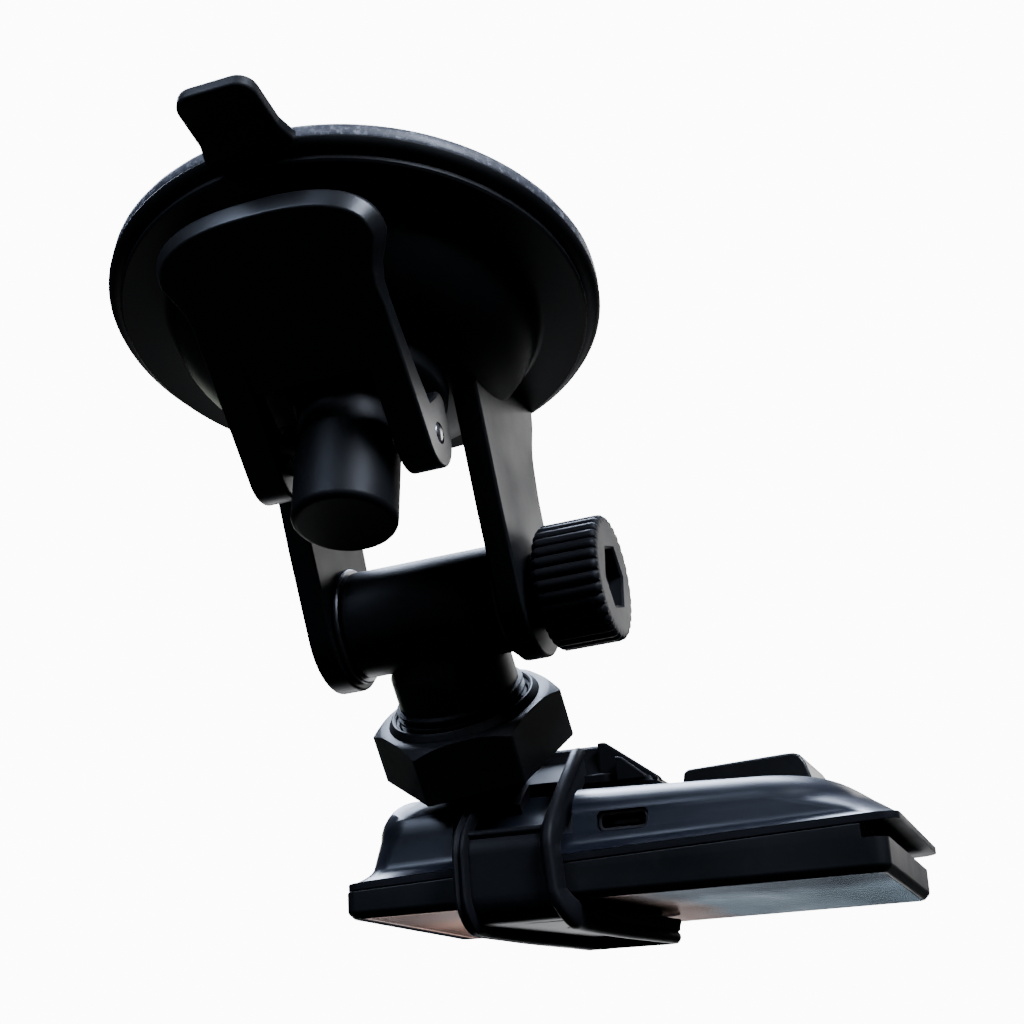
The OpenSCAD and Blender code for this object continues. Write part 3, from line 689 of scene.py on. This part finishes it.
# ---- Ball joint ---------------------------------------------------------------------------
def collar_nut():
    top, shoulder, low = 14.6, 15.6, 24.4
    corner = 14.7
    phase = 48.6
    nut = prism([polar(corner, 60 * i + phase) for i in range(6)], top - 1, low, STEM)
    nut = bevel(nut, 0.35, 3, 40)
    turned = lathe([(0, top), (10.85, top), (11.05, top + 0.12), (11.55, shoulder - 0.2), (11.65, shoulder),
                    (12.2, shoulder), (12.9, shoulder + 0.08), (13.3, shoulder + 0.3), (corner + 0.2, 17.0),
                    (corner + 1, 18.0), (corner + 1, 23.9), (corner - 0.35, low), (0, low)], STEM, 144)
    keep(nut, turned)
    bore = [(0, top - 2), (10.75, top - 2), (10.7, top + 0.05), (10.45, top + 0.25), (10.4, top + 0.7),
            (10.05, top + 0.9), (9.95, top + 1.2), (9.95, 20.5)]
    bore += arc((0, 21), 9.12, -3.1, 90, 24)
    cut(nut, lathe(bore, STEM, 128))
    piece(nut, "hex_collar", "collar", PAINT["mount"], ["collar_nut"], 30)
    for seat in ("upper_seat", "lower_seat"):
        finish_node(seat, PAINT["nylon"])


def finish_node(node, paint):
    """Keeps a CAD node whose shape is right, and gives it its finish."""
    mesh = frame["nodes"][node].data
    mesh.materials.clear()
    mesh.materials.append(paint)


# ---- Cradle -------------------------------------------------------------------------------
FACET = math.radians(36.1)
KINK = (-0.5, 8.2)


def facet_point(along, out):
    """A point in the camera's y-z plane, measured up the cradle's sloping plate and out from it."""
    return (KINK[0] + along * math.cos(FACET) - out * math.sin(FACET),
            KINK[1] + along * math.sin(FACET) + out * math.cos(FACET))


def facet_box(along0, along1, out0, out1):
    return [facet_point(*corner) for corner in rectangle(along0, along1, out0, out1)]


def claw_line(out):
    """The clamp from the side: under the screen, round the near edge and up the plate, set off by out."""
    bend, jaw, jaw_end, top = 2.3, -0.9, 9.0, 21.5
    line = [(jaw_end, jaw - out)]
    line += arc((KINK[0] + bend, jaw + bend), bend + out, 270, 180, 10)
    line += arc((KINK[0] + 2.0, KINK[1] - 1.02), 2.0 + out, 180, 126.1, 6)
    return line + [facet_point(top, out)]


def claw_band(x0, x1, low, high, width):
    outline = claw_line(low) + list(reversed(claw_line(high)))
    return bevel(prism(outline, x0, x1, CAMERA @ ALONG_X), width, 4, 40)


def jaw_outline(margin):
    """The clamp's lower jaw in plan: a strap that leans right as it runs under the screen."""
    near, far = 2.5 - margin, 4.5 - margin
    spots = [((-57.7, 5), near), ((-45.6, 5), near), ((-42, 36), far), ((-49.5, 35.5), far)]
    outline = []
    for i, (centre, r) in enumerate(spots):
        before, after = Vector(spots[i - 1][0]), Vector(spots[(i + 1) % 4][0])
        a = (Vector(centre) - before).normalized()
        b = (after - Vector(centre)).normalized()
        start = math.degrees(math.atan2(-a.x, a.y))
        end = math.degrees(math.atan2(-b.x, b.y))
        while end < start:
            end += 360
        outline += arc(centre, r, start, end, 9)
    return outline


RIDGE = 3.6


def strap_bead():
    """The raised bead that runs down one side of the clamp, round the jaw and up the other side."""
    base, lift = claw_line(0.2), claw_line(1.0)
    ridge = [2.94] * 12 + [2.96, 2.95, 2.9, 2.9, 2.95, 3.05, 3.15]

    def lane(rail_x, jaw_x):
        stops = []
        for i, ((y, z), (y1, z1)) in enumerate(zip(base, lift)):
            if i == 0:
                continue
            out = Vector((0, y1 - y, z1 - z)).normalized()
            blend = max(0.0, min(1.0, (3.5 - z) / 4.4)) ** 2
            height = ridge[min(i, len(ridge) - 1)]
            stops.append((Vector((rail_x + (jaw_x - rail_x) * blend, y, z)), out, height))
        top, out = stops.pop()[:2]
        start = stops[-1][0]
        for k in range(1, 9):
            share = k / 8 * 0.97
            stops.append((start.lerp(top, share), out, 3.15 + (RIDGE - 3.15) * min(1.0, 3 * share)))
        stops.append((start.lerp(top, 1.05), out, RIDGE * 0.8))
        return stops

    jaw = jaw_outline(1.25)
    down = Vector((0, 0, -1))
    loop = [jaw[19]] + jaw[20:40] + [jaw[0]]
    ring = []
    for i, point in enumerate(loop):
        ring.append((Vector((*point, -1.1)), down, 2.94))
        if i in (0, 20):
            for k in range(1, 6):
                mid = Vector(point).lerp(Vector(loop[i + 1]), k / 6)
                ring.append((Vector((*mid, -1.1)), down, 2.94))
    path = list(reversed(lane(-46.45, jaw[19][0]))) + ring + lane(-59.65, jaw[0][0])
    total = len(path)
    rings = []
    for i, (point, out, height) in enumerate(path):
        along = (path[min(i + 1, total - 1)][0] - path[max(i - 1, 0)][0]).normalized()
        wide = along.cross(out).normalized()
        share = i / total
        tip = max(0.0, 1 - abs(share - 0.5) / 0.1)
        split = 0.75 * max(tip, min(1.0, max(0.0, (share - 0.6) / 0.08)))
        if point.y > 6:
            height += 0.25 * min(1.0, (point.y - 6) / 12)
        waist = 0.45 * max(0.0, min(1.0, (point.y - 4) / 4))
        loop = [point + wide * 1.2 - out * 0.5]
        for k in range(21):
            a = math.pi * k / 20
            u = math.copysign(abs(math.cos(a)) ** 0.8, math.cos(a))
            v = math.sin(a) ** 0.75
            u *= 1 - waist * math.exp(-((v - 0.38) / 0.16) ** 2)
            loop.append(point + wide * 1.25 * u + out * (height * v - split * math.exp(-(u / 0.3) ** 2)))
        loop.append(point - wide * 1.2 - out * 0.5)
        rings.append(loop)
    return solid(skin(rings), CAMERA)


def cradle():
    left, right = -60.9, -45.2
    rail = 2.5
    body = claw_band(left + 0.4, right - 0.4, 0, 1.5, 0.3)
    window = rounded([(*p, 0.3) for p in facet_box(1.6, 9.5, -1, 4)], 3)
    cut(body, bevel(prism(window, left + rail, right - rail, CAMERA @ ALONG_X), 0.3, 2))
    notch = rounded([(*p, 0.3) for p in facet_box(9.3, 15.5, -1, 4)], 3)
    cut(body, prism(notch, right - rail - 5.4, right - rail, CAMERA @ ALONG_X))
    bar = [facet_point(0.1, 0.2), facet_point(1.5, 0.2), facet_point(1.4, 2.3), facet_point(0.3, 2.3)]
    join(body, bevel(prism(bar, left + 1, right - 1, CAMERA @ ALONG_X), 0.4, 3))
    jaw = -0.9
    plate = bevel(prism(jaw_outline(0.25), jaw - 1.5, jaw, CAMERA), 0.3, 2, 40)
    join(body, plate)
    join(body, strap_bead())
    hole = [(0, jaw - 6), (2.1, jaw - 6), (2.1, jaw - 1.75), (1.6, jaw - 1.35), (1.6, jaw + 2), (0, jaw + 2)]
    cut(body, lathe(hole, CAMERA @ Matrix.Translation((-48, 15.4, 0)), 40))
    back = rounded_box(-66, -40, 14, 40, 2.5, 5)
    join(body, bevel(prism(back, 18.05, 19.6, CAMERA), 0.35, 3))
    join(body, gusset())
    ball = arc((0, 0), 8.5, -90, 51, 36) + [(5.75, 6.75), (6.0, 7.0), (6.0, 8.7), (0, 8.7)]
    join(body, lathe(ball, BALL))
    piece(body, "clamp_cradle", "camera", PAINT["cradle"], ["cradle"], 32)
    pad = bevel(prism(jaw_outline(3.0), jaw + 0.02, jaw + 0.65, CAMERA), 0.2, 3)
    cut(pad, prism(rectangle(-62, -30, -2, 6), jaw - 2, jaw + 3, CAMERA))
    piece(pad, "jaw_cushion", "camera", PAINT["pad"], ["jaw_pad"])
    cushion = bevel(prism(rounded_box(-61, -42, 15, 38, 2, 5), 17.3, 18.02, CAMERA), 0.2, 3)
    piece(cushion, "back_cushion", "camera", PAINT["pad"], ["back_pad"])


def gusset():
    """The hump behind the ball: a flat top, a web down its right slope, and a small rib beside it."""
    rings = []
    for z, x0, x1, y0, y1, r in ((17.9, -66, -34.4, 14.5, 31, 1.5), (18.6, -65.9, -34.6, 14.6, 30.8, 1.5),
                                 (23.2, -64.5, -42.2, 16.4, 20.4, 1.0), (23.9, -64.3, -42.5, 16.5, 20.2, 0.9),
                                 (24.3, -63.9, -43.0, 16.9, 19.8, 0.6)):
        rings.append([(x, y, z) for x, y in rounded_box(x0, x1, y0, y1, r, 4)])
    hump = solid(skin(rings), CAMERA)
    web = [(-43.2, 24.4), (-42.0, 24.4), (-34.6, 18.9), (-34.2, 18.4), (-34.6, 17.9), (-43.2, 17.9)]
    for y0, y1 in ((14.9, 16.0), (17.2, 18.3)):
        join(hump, bevel(prism(web, y0, y1, CAMERA @ ALONG_Y), 0.3, 3))
    rib = [(-40.2, 21.8), (-39.2, 21.6), (-35.6, 18.6), (-35.6, 18.0), (-40.2, 18.0)]
    return join(hump, bevel(prism(rib, 13.2, 14.3, CAMERA @ ALONG_Y), 0.3, 3))


# ---- Camera housing -----------------------------------------------------------------------
LENGTH, WIDTH = 78.8, 48.7
TILT = math.tan(math.radians(2.1))
FLANGE = 1.1


def split_z(x):
    """Height of the line where the cover meets the frame."""
    return 8.0 + x * TILT


def crown_z(x):
    return 17.3 - 0.034 * (x + LENGTH - 7)


def cover_ring(rise, wall=0.0):
    """The cover's plan at a share of the way from split line to crown, thinned by wall."""
    if rise < 0.5:
        lean = 1.3 * max(0.0, 1 - rise / 0.17) ** 2.2
        near = 1.25 + 1.5 * rise - lean
        left = 2.9 + 1.0 * rise - 1.6 * lean
    else:
        bow = 1 - math.sqrt(max(0.0, 1 - ((rise - 0.5) / 0.5) ** 2))
        near = 2.0 + 6.0 * bow
        left = 3.4 + 6.0 * bow
    right = 12.0 * (1 - rise) ** 0.6 - 10.6
    x0, x1 = -LENGTH + left + wall, right - wall
    y0, y1 = near + wall - 0.1, WIDTH - near - wall + 0.1
    limit = 3.0 + 6 * rise
    r_left = max(0.3, min(limit, 9.4 - left, 8.0 - near))
    r_right = min(3.2 + 20 * rise, 15.5 - near, 7.5 + 0.8 * (right + 10.6))
    plan = rounded([(x0, y0, r_left), (x1, y0, r_right), (x1, y1, r_right), (x0, y1, r_left)], 8)
    return [(x, y, split_z(x) + (crown_z(x) - wall - split_z(x)) * rise) for x, y in plan]


def cover_solid(wall=0.0):
    rises = [0, 0.02, 0.045, 0.075, 0.11, 0.15, 0.2, 0.3, 0.4, 0.5]
    rises += [0.5 + 0.5 * math.sin(math.radians(a)) for a in (12, 24, 36, 47, 57, 66, 74, 81, 86)] + [1]
    rings = [cover_ring(rise, wall) for rise in rises]
    if wall:
        rings.insert(0, [(x, y, z - 3) for x, y, z in rings[0]])
    return solid(skin(rings), CAMERA)


def saddle(margin):
    """The room the clamp's sloping plate takes out of the cover, grown by margin."""
    outline = facet_box(-9, 15, -0.3 - margin, 14)
    return prism(outline, -62.1 - margin, -44.0 + margin, CAMERA @ ALONG_X)


LENS = (-21.2, 25.0)
SCREWS = ((-67, 36), (-33, 40), (-13, 38), (-13, 11))


def rear_cover():
    cover = cover_solid()
    hollow = cover_solid(1.8)
    lens_seat = prism(rectangle(-30.8, -12, 14, 36), 13, 21, CAMERA)
    cut(hollow, saddle(1.8), lens_seat)
    cut(cover, hollow, saddle(0), cylinder(15.2, 0, 6, BALL), cylinder(6.3, 0, 9, BALL))
    lens_axis = CAMERA @ Matrix.Translation((*LENS, 0))
    cut(cover, cylinder(6.7, -1, 30, lens_axis))
    cut(cover, prism(rounded_box(-40.4, -32.8, 9.2, 12.1, 0.9, 5), -2, 9, CAMERA @ ALONG_Y))
    for number, (x, y) in enumerate(SCREWS, 1):
        axis = CAMERA @ Matrix.Translation((x, y, crown_z(x) - 1.3))
        well = [(0, -9), (1.1, -9), (1.1, 0), (2.1, 0), (2.1, 0.95), (2.4, 1.35), (2.4, 9), (0, 9)]
        cut(cover, lathe(well, axis, 40))
        head = [(0, -4), (0.6, -4), (1, -3.5), (1, 0), (1.9, 0), (1.9, 0.5), (1.6, 0.8), (0.9, 0.98), (0, 1)]
        screw = lathe(head, axis, 40)
        for turn in (0, math.pi / 2):
            slot = rectangle(-1.1, 1.1, -0.18, 0.18)
            cut(screw, prism(slot, 0.35, 2, axis @ Matrix.Rotation(turn, 4, "Z")))
        piece(screw, f"case_screw_{number}", "camera", PAINT["black_steel"],
              ["case_screws"] if number == 1 else [])
    piece(cover, "rear_shell", "camera", PAINT["cover"], ["rear_cover"], 30)


def on_split(outline, low, high):
    """A ring pair that follows the sloping split line."""
    return [[(x, y, split_z(x) + h) for x, y in outline] for h in (low, high)]


def front_parts():
    end = 1.75
    outer = rounded_box(-LENGTH + 0.1, end, -0.1, WIDTH + 0.1, 2.4)
    strip = bevel(solid(skin(on_split(outer, -FLANGE, -0.02)), CAMERA), 0.13, 2)
    cut(strip, prism(rounded_box(-LENGTH + 4.5, -4.2, 2.6, WIDTH - 2.6, 2), 0, 12, CAMERA))
    piece(strip, "mid_strip", "camera", PAINT["frame"], ["mid_frame"])

    plan = rounded_box(-LENGTH, 0, 0, WIDTH, 2.0)
    face = rounded_box(-LENGTH + 0.9, -0.9, 0.9, WIDTH - 0.9, 1.6)
    base = [[(x, y, 0) for x, y in face], [(x, y, 0.95) for x, y in plan],
            [(x, y, split_z(x) - FLANGE) for x, y in plan]]
    bezel = bevel(solid(skin(base), CAMERA), 0.3, 3)
    hollow = prism(rounded_box(-LENGTH + 2, -3.6, 2.2, WIDTH - 2.2, 1.5), 1.2, 12, CAMERA)
    window = prism(rounded_box(-LENGTH + 1.2, -1.1, 1.1, WIDTH - 1.1, 1.5), -2, 1.25, CAMERA)
    step = bevel(prism(rectangle(-3.5, 1.6, -2, WIDTH + 2), 4.7, 12, CAMERA), 0.2, 2)
    cut(bezel, hollow, window, step)
    for x in BUTTONS.values():
        mouth = [(0, -6), (1.3, -6), (1.3, 1.75), (1.55, 2.05), (1.55, 4), (0, 4)]
        cut(bezel, lathe(mouth, button_frame(x), 32))
    slot = rounded_box(-26.3, -14.7, 4.3, 5.5, 0.3, 3)
    cut(bezel, prism(slot, WIDTH - 6, WIDTH + 3, CAMERA @ ALONG_Y))
    piece(bezel, "screen_bezel", "camera", PAINT["bezel"], ["front_bezel"], 30)

    glass = prism(rounded_box(-LENGTH + 1.3, -1.2, 1.2, WIDTH - 1.2, 1.4), 0.02, 1.1, CAMERA)
    piece(bevel(glass, 0.2, 3), "cover_glass", "camera", PAINT["screen"], ["screen_glass"])


BUTTONS = {"menu": -70, "up": -63, "down": -56, "ok": -49, "power": -38}


def button_frame(x):
    """Local z points out of the far side wall, through the button."""
    return CAMERA @ Matrix.Translation((x, WIDTH - 2, 2.75)) @ Matrix.Rotation(-math.pi / 2, 4, "X")


def buttons():
    for name, x in BUTTONS.items():
        dome = [(0, -1.4), (1.4, -1.4), (1.4, -0.6), (1.2, -0.6), (1.2, 2.2), (1.05, 2.5), (0.75, 2.62),
                (0, 2.66)]
        if name == "power":
            dome[-1:] = [(0.7, 2.45), (0.5, 2.4), (0, 2.4)]
        cap = lathe(dome, button_frame(x), 48)
        piece(cap, f"{name}_cap", f"{name}_key", PAINT["button"], [f"{name}_button"])


def lens_parts():
    x, y = LENS
    side = [(-30.5, crown_z(-30.3) - 0.2), (-30.4, 17.2), (-30.2, 18.5), (-29.5, 18.88), (-15.0, 19.66),
            (-13.8, 19.64), (-12.9, 19.3), (-12.1, 18.0), (-11.5, 16.1), (-11.4, crown_z(-11.6) - 0.2)]
    shroud = bevel(prism(side, 14.5, 35.5, CAMERA @ ALONG_Y), 0.45, 3, 50)
    axis = CAMERA @ Matrix.Translation((x, y, 0))
    cut(shroud, lathe([(0, 8), (6.7, 8), (6.7, 18.4), (7.15, 19.1), (7.15, 30), (0, 30)], axis, 72))
    piece(shroud, "lens_shroud", "camera", PAINT["lens_block"], ["lens_housing"])
    barrel = [(0, 9.4), (6.5, 9.4), (6.5, 18.9), (6.2, 19.2), (6.0, 19.2), (5.75, 18.85), (5.6, 18.4),
              (5.45, 18.4), (5.3, 17.9), (5.15, 17.9), (4.9, 17.3), (4.9, 10.6), (0, 10.6)]
    piece(lathe(barrel, axis), "lens_tube", "camera", PAINT["lens_block"], ["lens_barrel"])
    glass = [(0, 16.4), (4.8, 16.4), (4.8, 16.9)]
    for degrees in (31, 28, 24, 20, 16, 12, 8, 4):
        a = math.radians(degrees)
        glass.append((9.3 * math.sin(a), 9 + 9.3 * math.cos(a)))
    glass.append((0, 18.3))
    piece(lathe(glass, axis, 72), "front_element", "camera", PAINT["lens"], ["lens_glass"])


# ---- Camera contents ----------------------------------------------------------------------
def block(x, y, z, width, r=0.4):
    """A box in the camera frame with rounded corners and edges."""
    return bevel(prism(rounded_box(*x, *y, r, 4), *z, CAMERA), width, 3)


def contents():
    panel = block((-68, -9), (4.5, 43), (1.22, 3.8), 0.15, 0.3)
    join(panel, block((-66, -58), (40, 43.6), (2.6, 4.1), 0.1, 0.2))
    piece(panel, "display_module", "camera", PAINT["tin"], ["lcd_panel"])

    board = block((-50, -8), (6, 43), (5.8, 6.8), 0.08, 0.8)
    chips = [((-44, -36), (22, 30), 7.6), ((-32, -27), (10, 17), 7.3), ((-24, -20.5), (36, 41), 7.2),
             ((-46, -43), (34, 38), 7.1), ((-14, -11), (12, 15), 7.4)]
    for x, y, top in chips:
        join(board, block(x, y, (6.5, top), 0.1, 0.2))
    piece(board, "logic_board", "camera", PAINT["board"], ["main_board"])
    sensor = block((-28.5, -14), (18, 32), (8.2, 9.1), 0.08, 0.6)
    join(sensor, block((-25, -17.5), (21.2, 28.8), (9.0, 9.3), 0.05, 0.2))
    piece(sensor, "image_sensor", "camera", PAINT["board"], ["sensor_board"])

    cell = block((-64.4, -40.1), (17.1, 40.9), (8.4, 13.2), 0.9, 1.2)
    join(cell, block((-56, -48), (40.4, 41.0), (9.6, 12.0), 0.2, 0.2))
    piece(cell, "pouch_cell", "camera", PAINT["foil"], ["battery"])

    axis = CAMERA @ Matrix.Translation((-60, 30, 0))
    driver = [(0, 4.6), (5.2, 4.6), (5.2, 5.6), (6.8, 6.2), (7.0, 6.6), (7.0, 7.3), (6.7, 7.6), (6.3, 7.6),
              (6.0, 7.2), (5.4, 7.35), (4.6, 7.0), (2.6, 6.4), (1.8, 6.9), (0, 7.1)]
    piece(lathe(driver, axis, 72), "speaker_driver", "camera", PAINT["tin"], ["speaker"])
    axis = CAMERA @ Matrix.Translation((-20, 10, 0))
    capsule = [(0, 6.8), (1.9, 6.8), (2, 6.95), (2, 8.6), (1.8, 8.8), (0.7, 8.8), (0.6, 8.5), (0, 8.5)]
    piece(lathe(capsule, axis, 40), "microphone_capsule", "camera", PAINT["tin"],
          ["microphone"])

    shell = prism(rounded_box(-40.2, -33, 9.4, 11.9, 0.8, 5), 2.6, 8.8, CAMERA @ ALONG_Y)
    cut(shell, prism(rounded_box(-39.85, -33.35, 9.75, 11.55, 0.6, 5), 1, 8.1, CAMERA @ ALONG_Y))
    join(shell, prism(rounded_box(-38.4, -34.8, 10.4, 10.9, 0.1, 2), 4.6, 8.4, CAMERA @ ALONG_Y))
    piece(shell, "usb_shell", "camera", PAINT["dull_tin"], ["usb_socket"])

    cage = bevel(prism(rectangle(-26.7, -14.3, 4.0, 5.8), 31, 46.4, CAMERA @ ALONG_Y), 0.15, 2)
    inside = prism(rectangle(-26.2, -14.8, 4.3, 5.5), 32, 47, CAMERA @ ALONG_Y)
    cut(cage, inside, prism(rectangle(-24, -22, 35, 39), 5.2, 7, CAMERA))
    piece(cage, "card_cage", "camera", PAINT["tin"], ["card_socket"])
    end = WIDTH + 0.5
    plan = rounded([(-26, 34.2, 0.6), (-15, 34.2, 0.6), (-15, end - 2.6, 0.3), (-15.7, end - 2.0, 0.3),
                    (-15.7, end, 0.4), (-26, end, 0.6)], 3)
    card = bevel(prism(plan, 4.4, 5.4, CAMERA), 0.15, 2)
    piece(card, "storage_card", "card", PAINT["button"], ["memory_card"])


# ---- Stage --------------------------------------------------------------------------------
def look(obj, target):
    away = (obj.location - Vector(target)).normalized()
    obj.rotation_euler = away.to_track_quat("Z", "Y").to_euler()


def soft_light(name, place, target, size, watts, spread=90, colour=(1, 1, 1)):
    data = bpy.data.lights.new(name, "AREA")
    data.shape = "RECTANGLE"
    data.size, data.size_y = size
    data.energy = watts
    data.color = colour
    data.spread = math.radians(spread)
    lamp = bpy.data.objects.new(name, data)
    bpy.context.scene.collection.objects.link(lamp)
    lamp.location = Vector(place)
    look(lamp, target)
    return lamp


def floor():
    bm = bmesh.new()
    steps, reach, drop = 24, 3.0, -1.2
    spots = [reach * (i / steps * 2 - 1) for i in range(steps + 1)]
    grid = [[bm.verts.new((x, y, drop)) for x in spots] for y in spots]
    for j in range(steps):
        for i in range(steps):
            bm.faces.new((grid[j][i], grid[j][i + 1], grid[j + 1][i + 1], grid[j + 1][i]))
    sheet = solid(bm, Matrix.Identity(4), "floor")
    n = Nodes("pale_floor")
    grain = n.noise(90, 3.0)
    paper = n.ramp(grain, [(0.3, (0.78, 0.78, 0.78)), (0.7, (0.83, 0.83, 0.83))])
    n.set(Base_Color=paper, Roughness=0.9, Emission_Color=paper, Emission_Strength=8.0)
    sheet.data.materials.append(n.material)
    sheet.visible_diffuse = sheet.visible_glossy = sheet.visible_transmission = False


def world():
    sky = bpy.data.worlds.new("studio")
    bpy.context.scene.world = sky
    sky.use_nodes = True
    tree = sky.node_tree
    backdrop = tree.nodes["Background"]
    backdrop.inputs["Color"].default_value = (1, 1, 1, 1)
    backdrop.inputs["Strength"].default_value = 12.0
    dim = tree.nodes.new("ShaderNodeBackground")
    dim.inputs["Color"].default_value = (0.75, 0.83, 1.0, 1)
    dim.inputs["Strength"].default_value = 0.025
    path = tree.nodes.new("ShaderNodeLightPath")
    mix = tree.nodes.new("ShaderNodeMixShader")
    tree.links.new(path.outputs["Is Camera Ray"], mix.inputs["Fac"])
    tree.links.new(dim.outputs["Background"], mix.inputs[1])
    tree.links.new(backdrop.outputs["Background"], mix.inputs[2])
    tree.links.new(mix.outputs["Shader"], tree.nodes["World Output"].inputs["Surface"])


def camera():
    data = bpy.data.cameras.new("camera")
    data.sensor_width = 36
    data.lens = 62.64
    eye = bpy.data.objects.new("camera", data)
    bpy.context.scene.collection.objects.link(eye)
    right = Vector((0.93825, 0.34591, -0.00511))
    up = Vector((0.19543, -0.51778, 0.83289))
    ahead = Vector((-0.28546, 0.78246, 0.55341))
    turn = Matrix((right, up, -ahead)).transposed().to_4x4()
    eye.matrix_world = Matrix.Translation((0.08842, -0.17771, -0.16819)) @ turn
    bpy.context.scene.camera = eye


suction_cup()
yoke_housing()
pull_post()
lock_lever()
hinge_parts()
tension_knob()
collar_nut()
cradle()
rear_cover()
front_parts()
buttons()
lens_parts()
contents()
finish_node("return_spring", PAINT["spring"])
floor()
world()
camera()
soft_light("key_back_right", (0.33, 0.85, 0.5), (0.02, 0.03, -0.05), (0.42, 0.42), 0.42, 70)
soft_light("low_back", (-0.33, 1.0, -0.1), (0, 0.07, -0.08), (0.9, 0.22), 0.52, 60, (0.95, 0.97, 1.0))
soft_light("sky_above", (-0.28, 0.36, 0.9), (0, 0.05, -0.07), (0.8, 0.5), 8.6, 75, (0.68, 0.78, 1.0))
soft_light("sky_front", (-0.23, -0.66, 0.43), (0, -0.03, -0.01), (0.36, 0.3), 0.58, 60, (0.62, 0.74, 1.0))
soft_light("sky_right", (0.65, -0.45, 0.5), (0, 0.03, -0.06), (0.35, 0.35), 2.0, 60, (0.74, 0.82, 1.0))
soft_light("sky_left", (-0.7, 0.75, 0.35), (-0.015, -0.01, -0.01), (0.12, 0.12), 0.02, 40, (0.9, 1.0, 0.85))
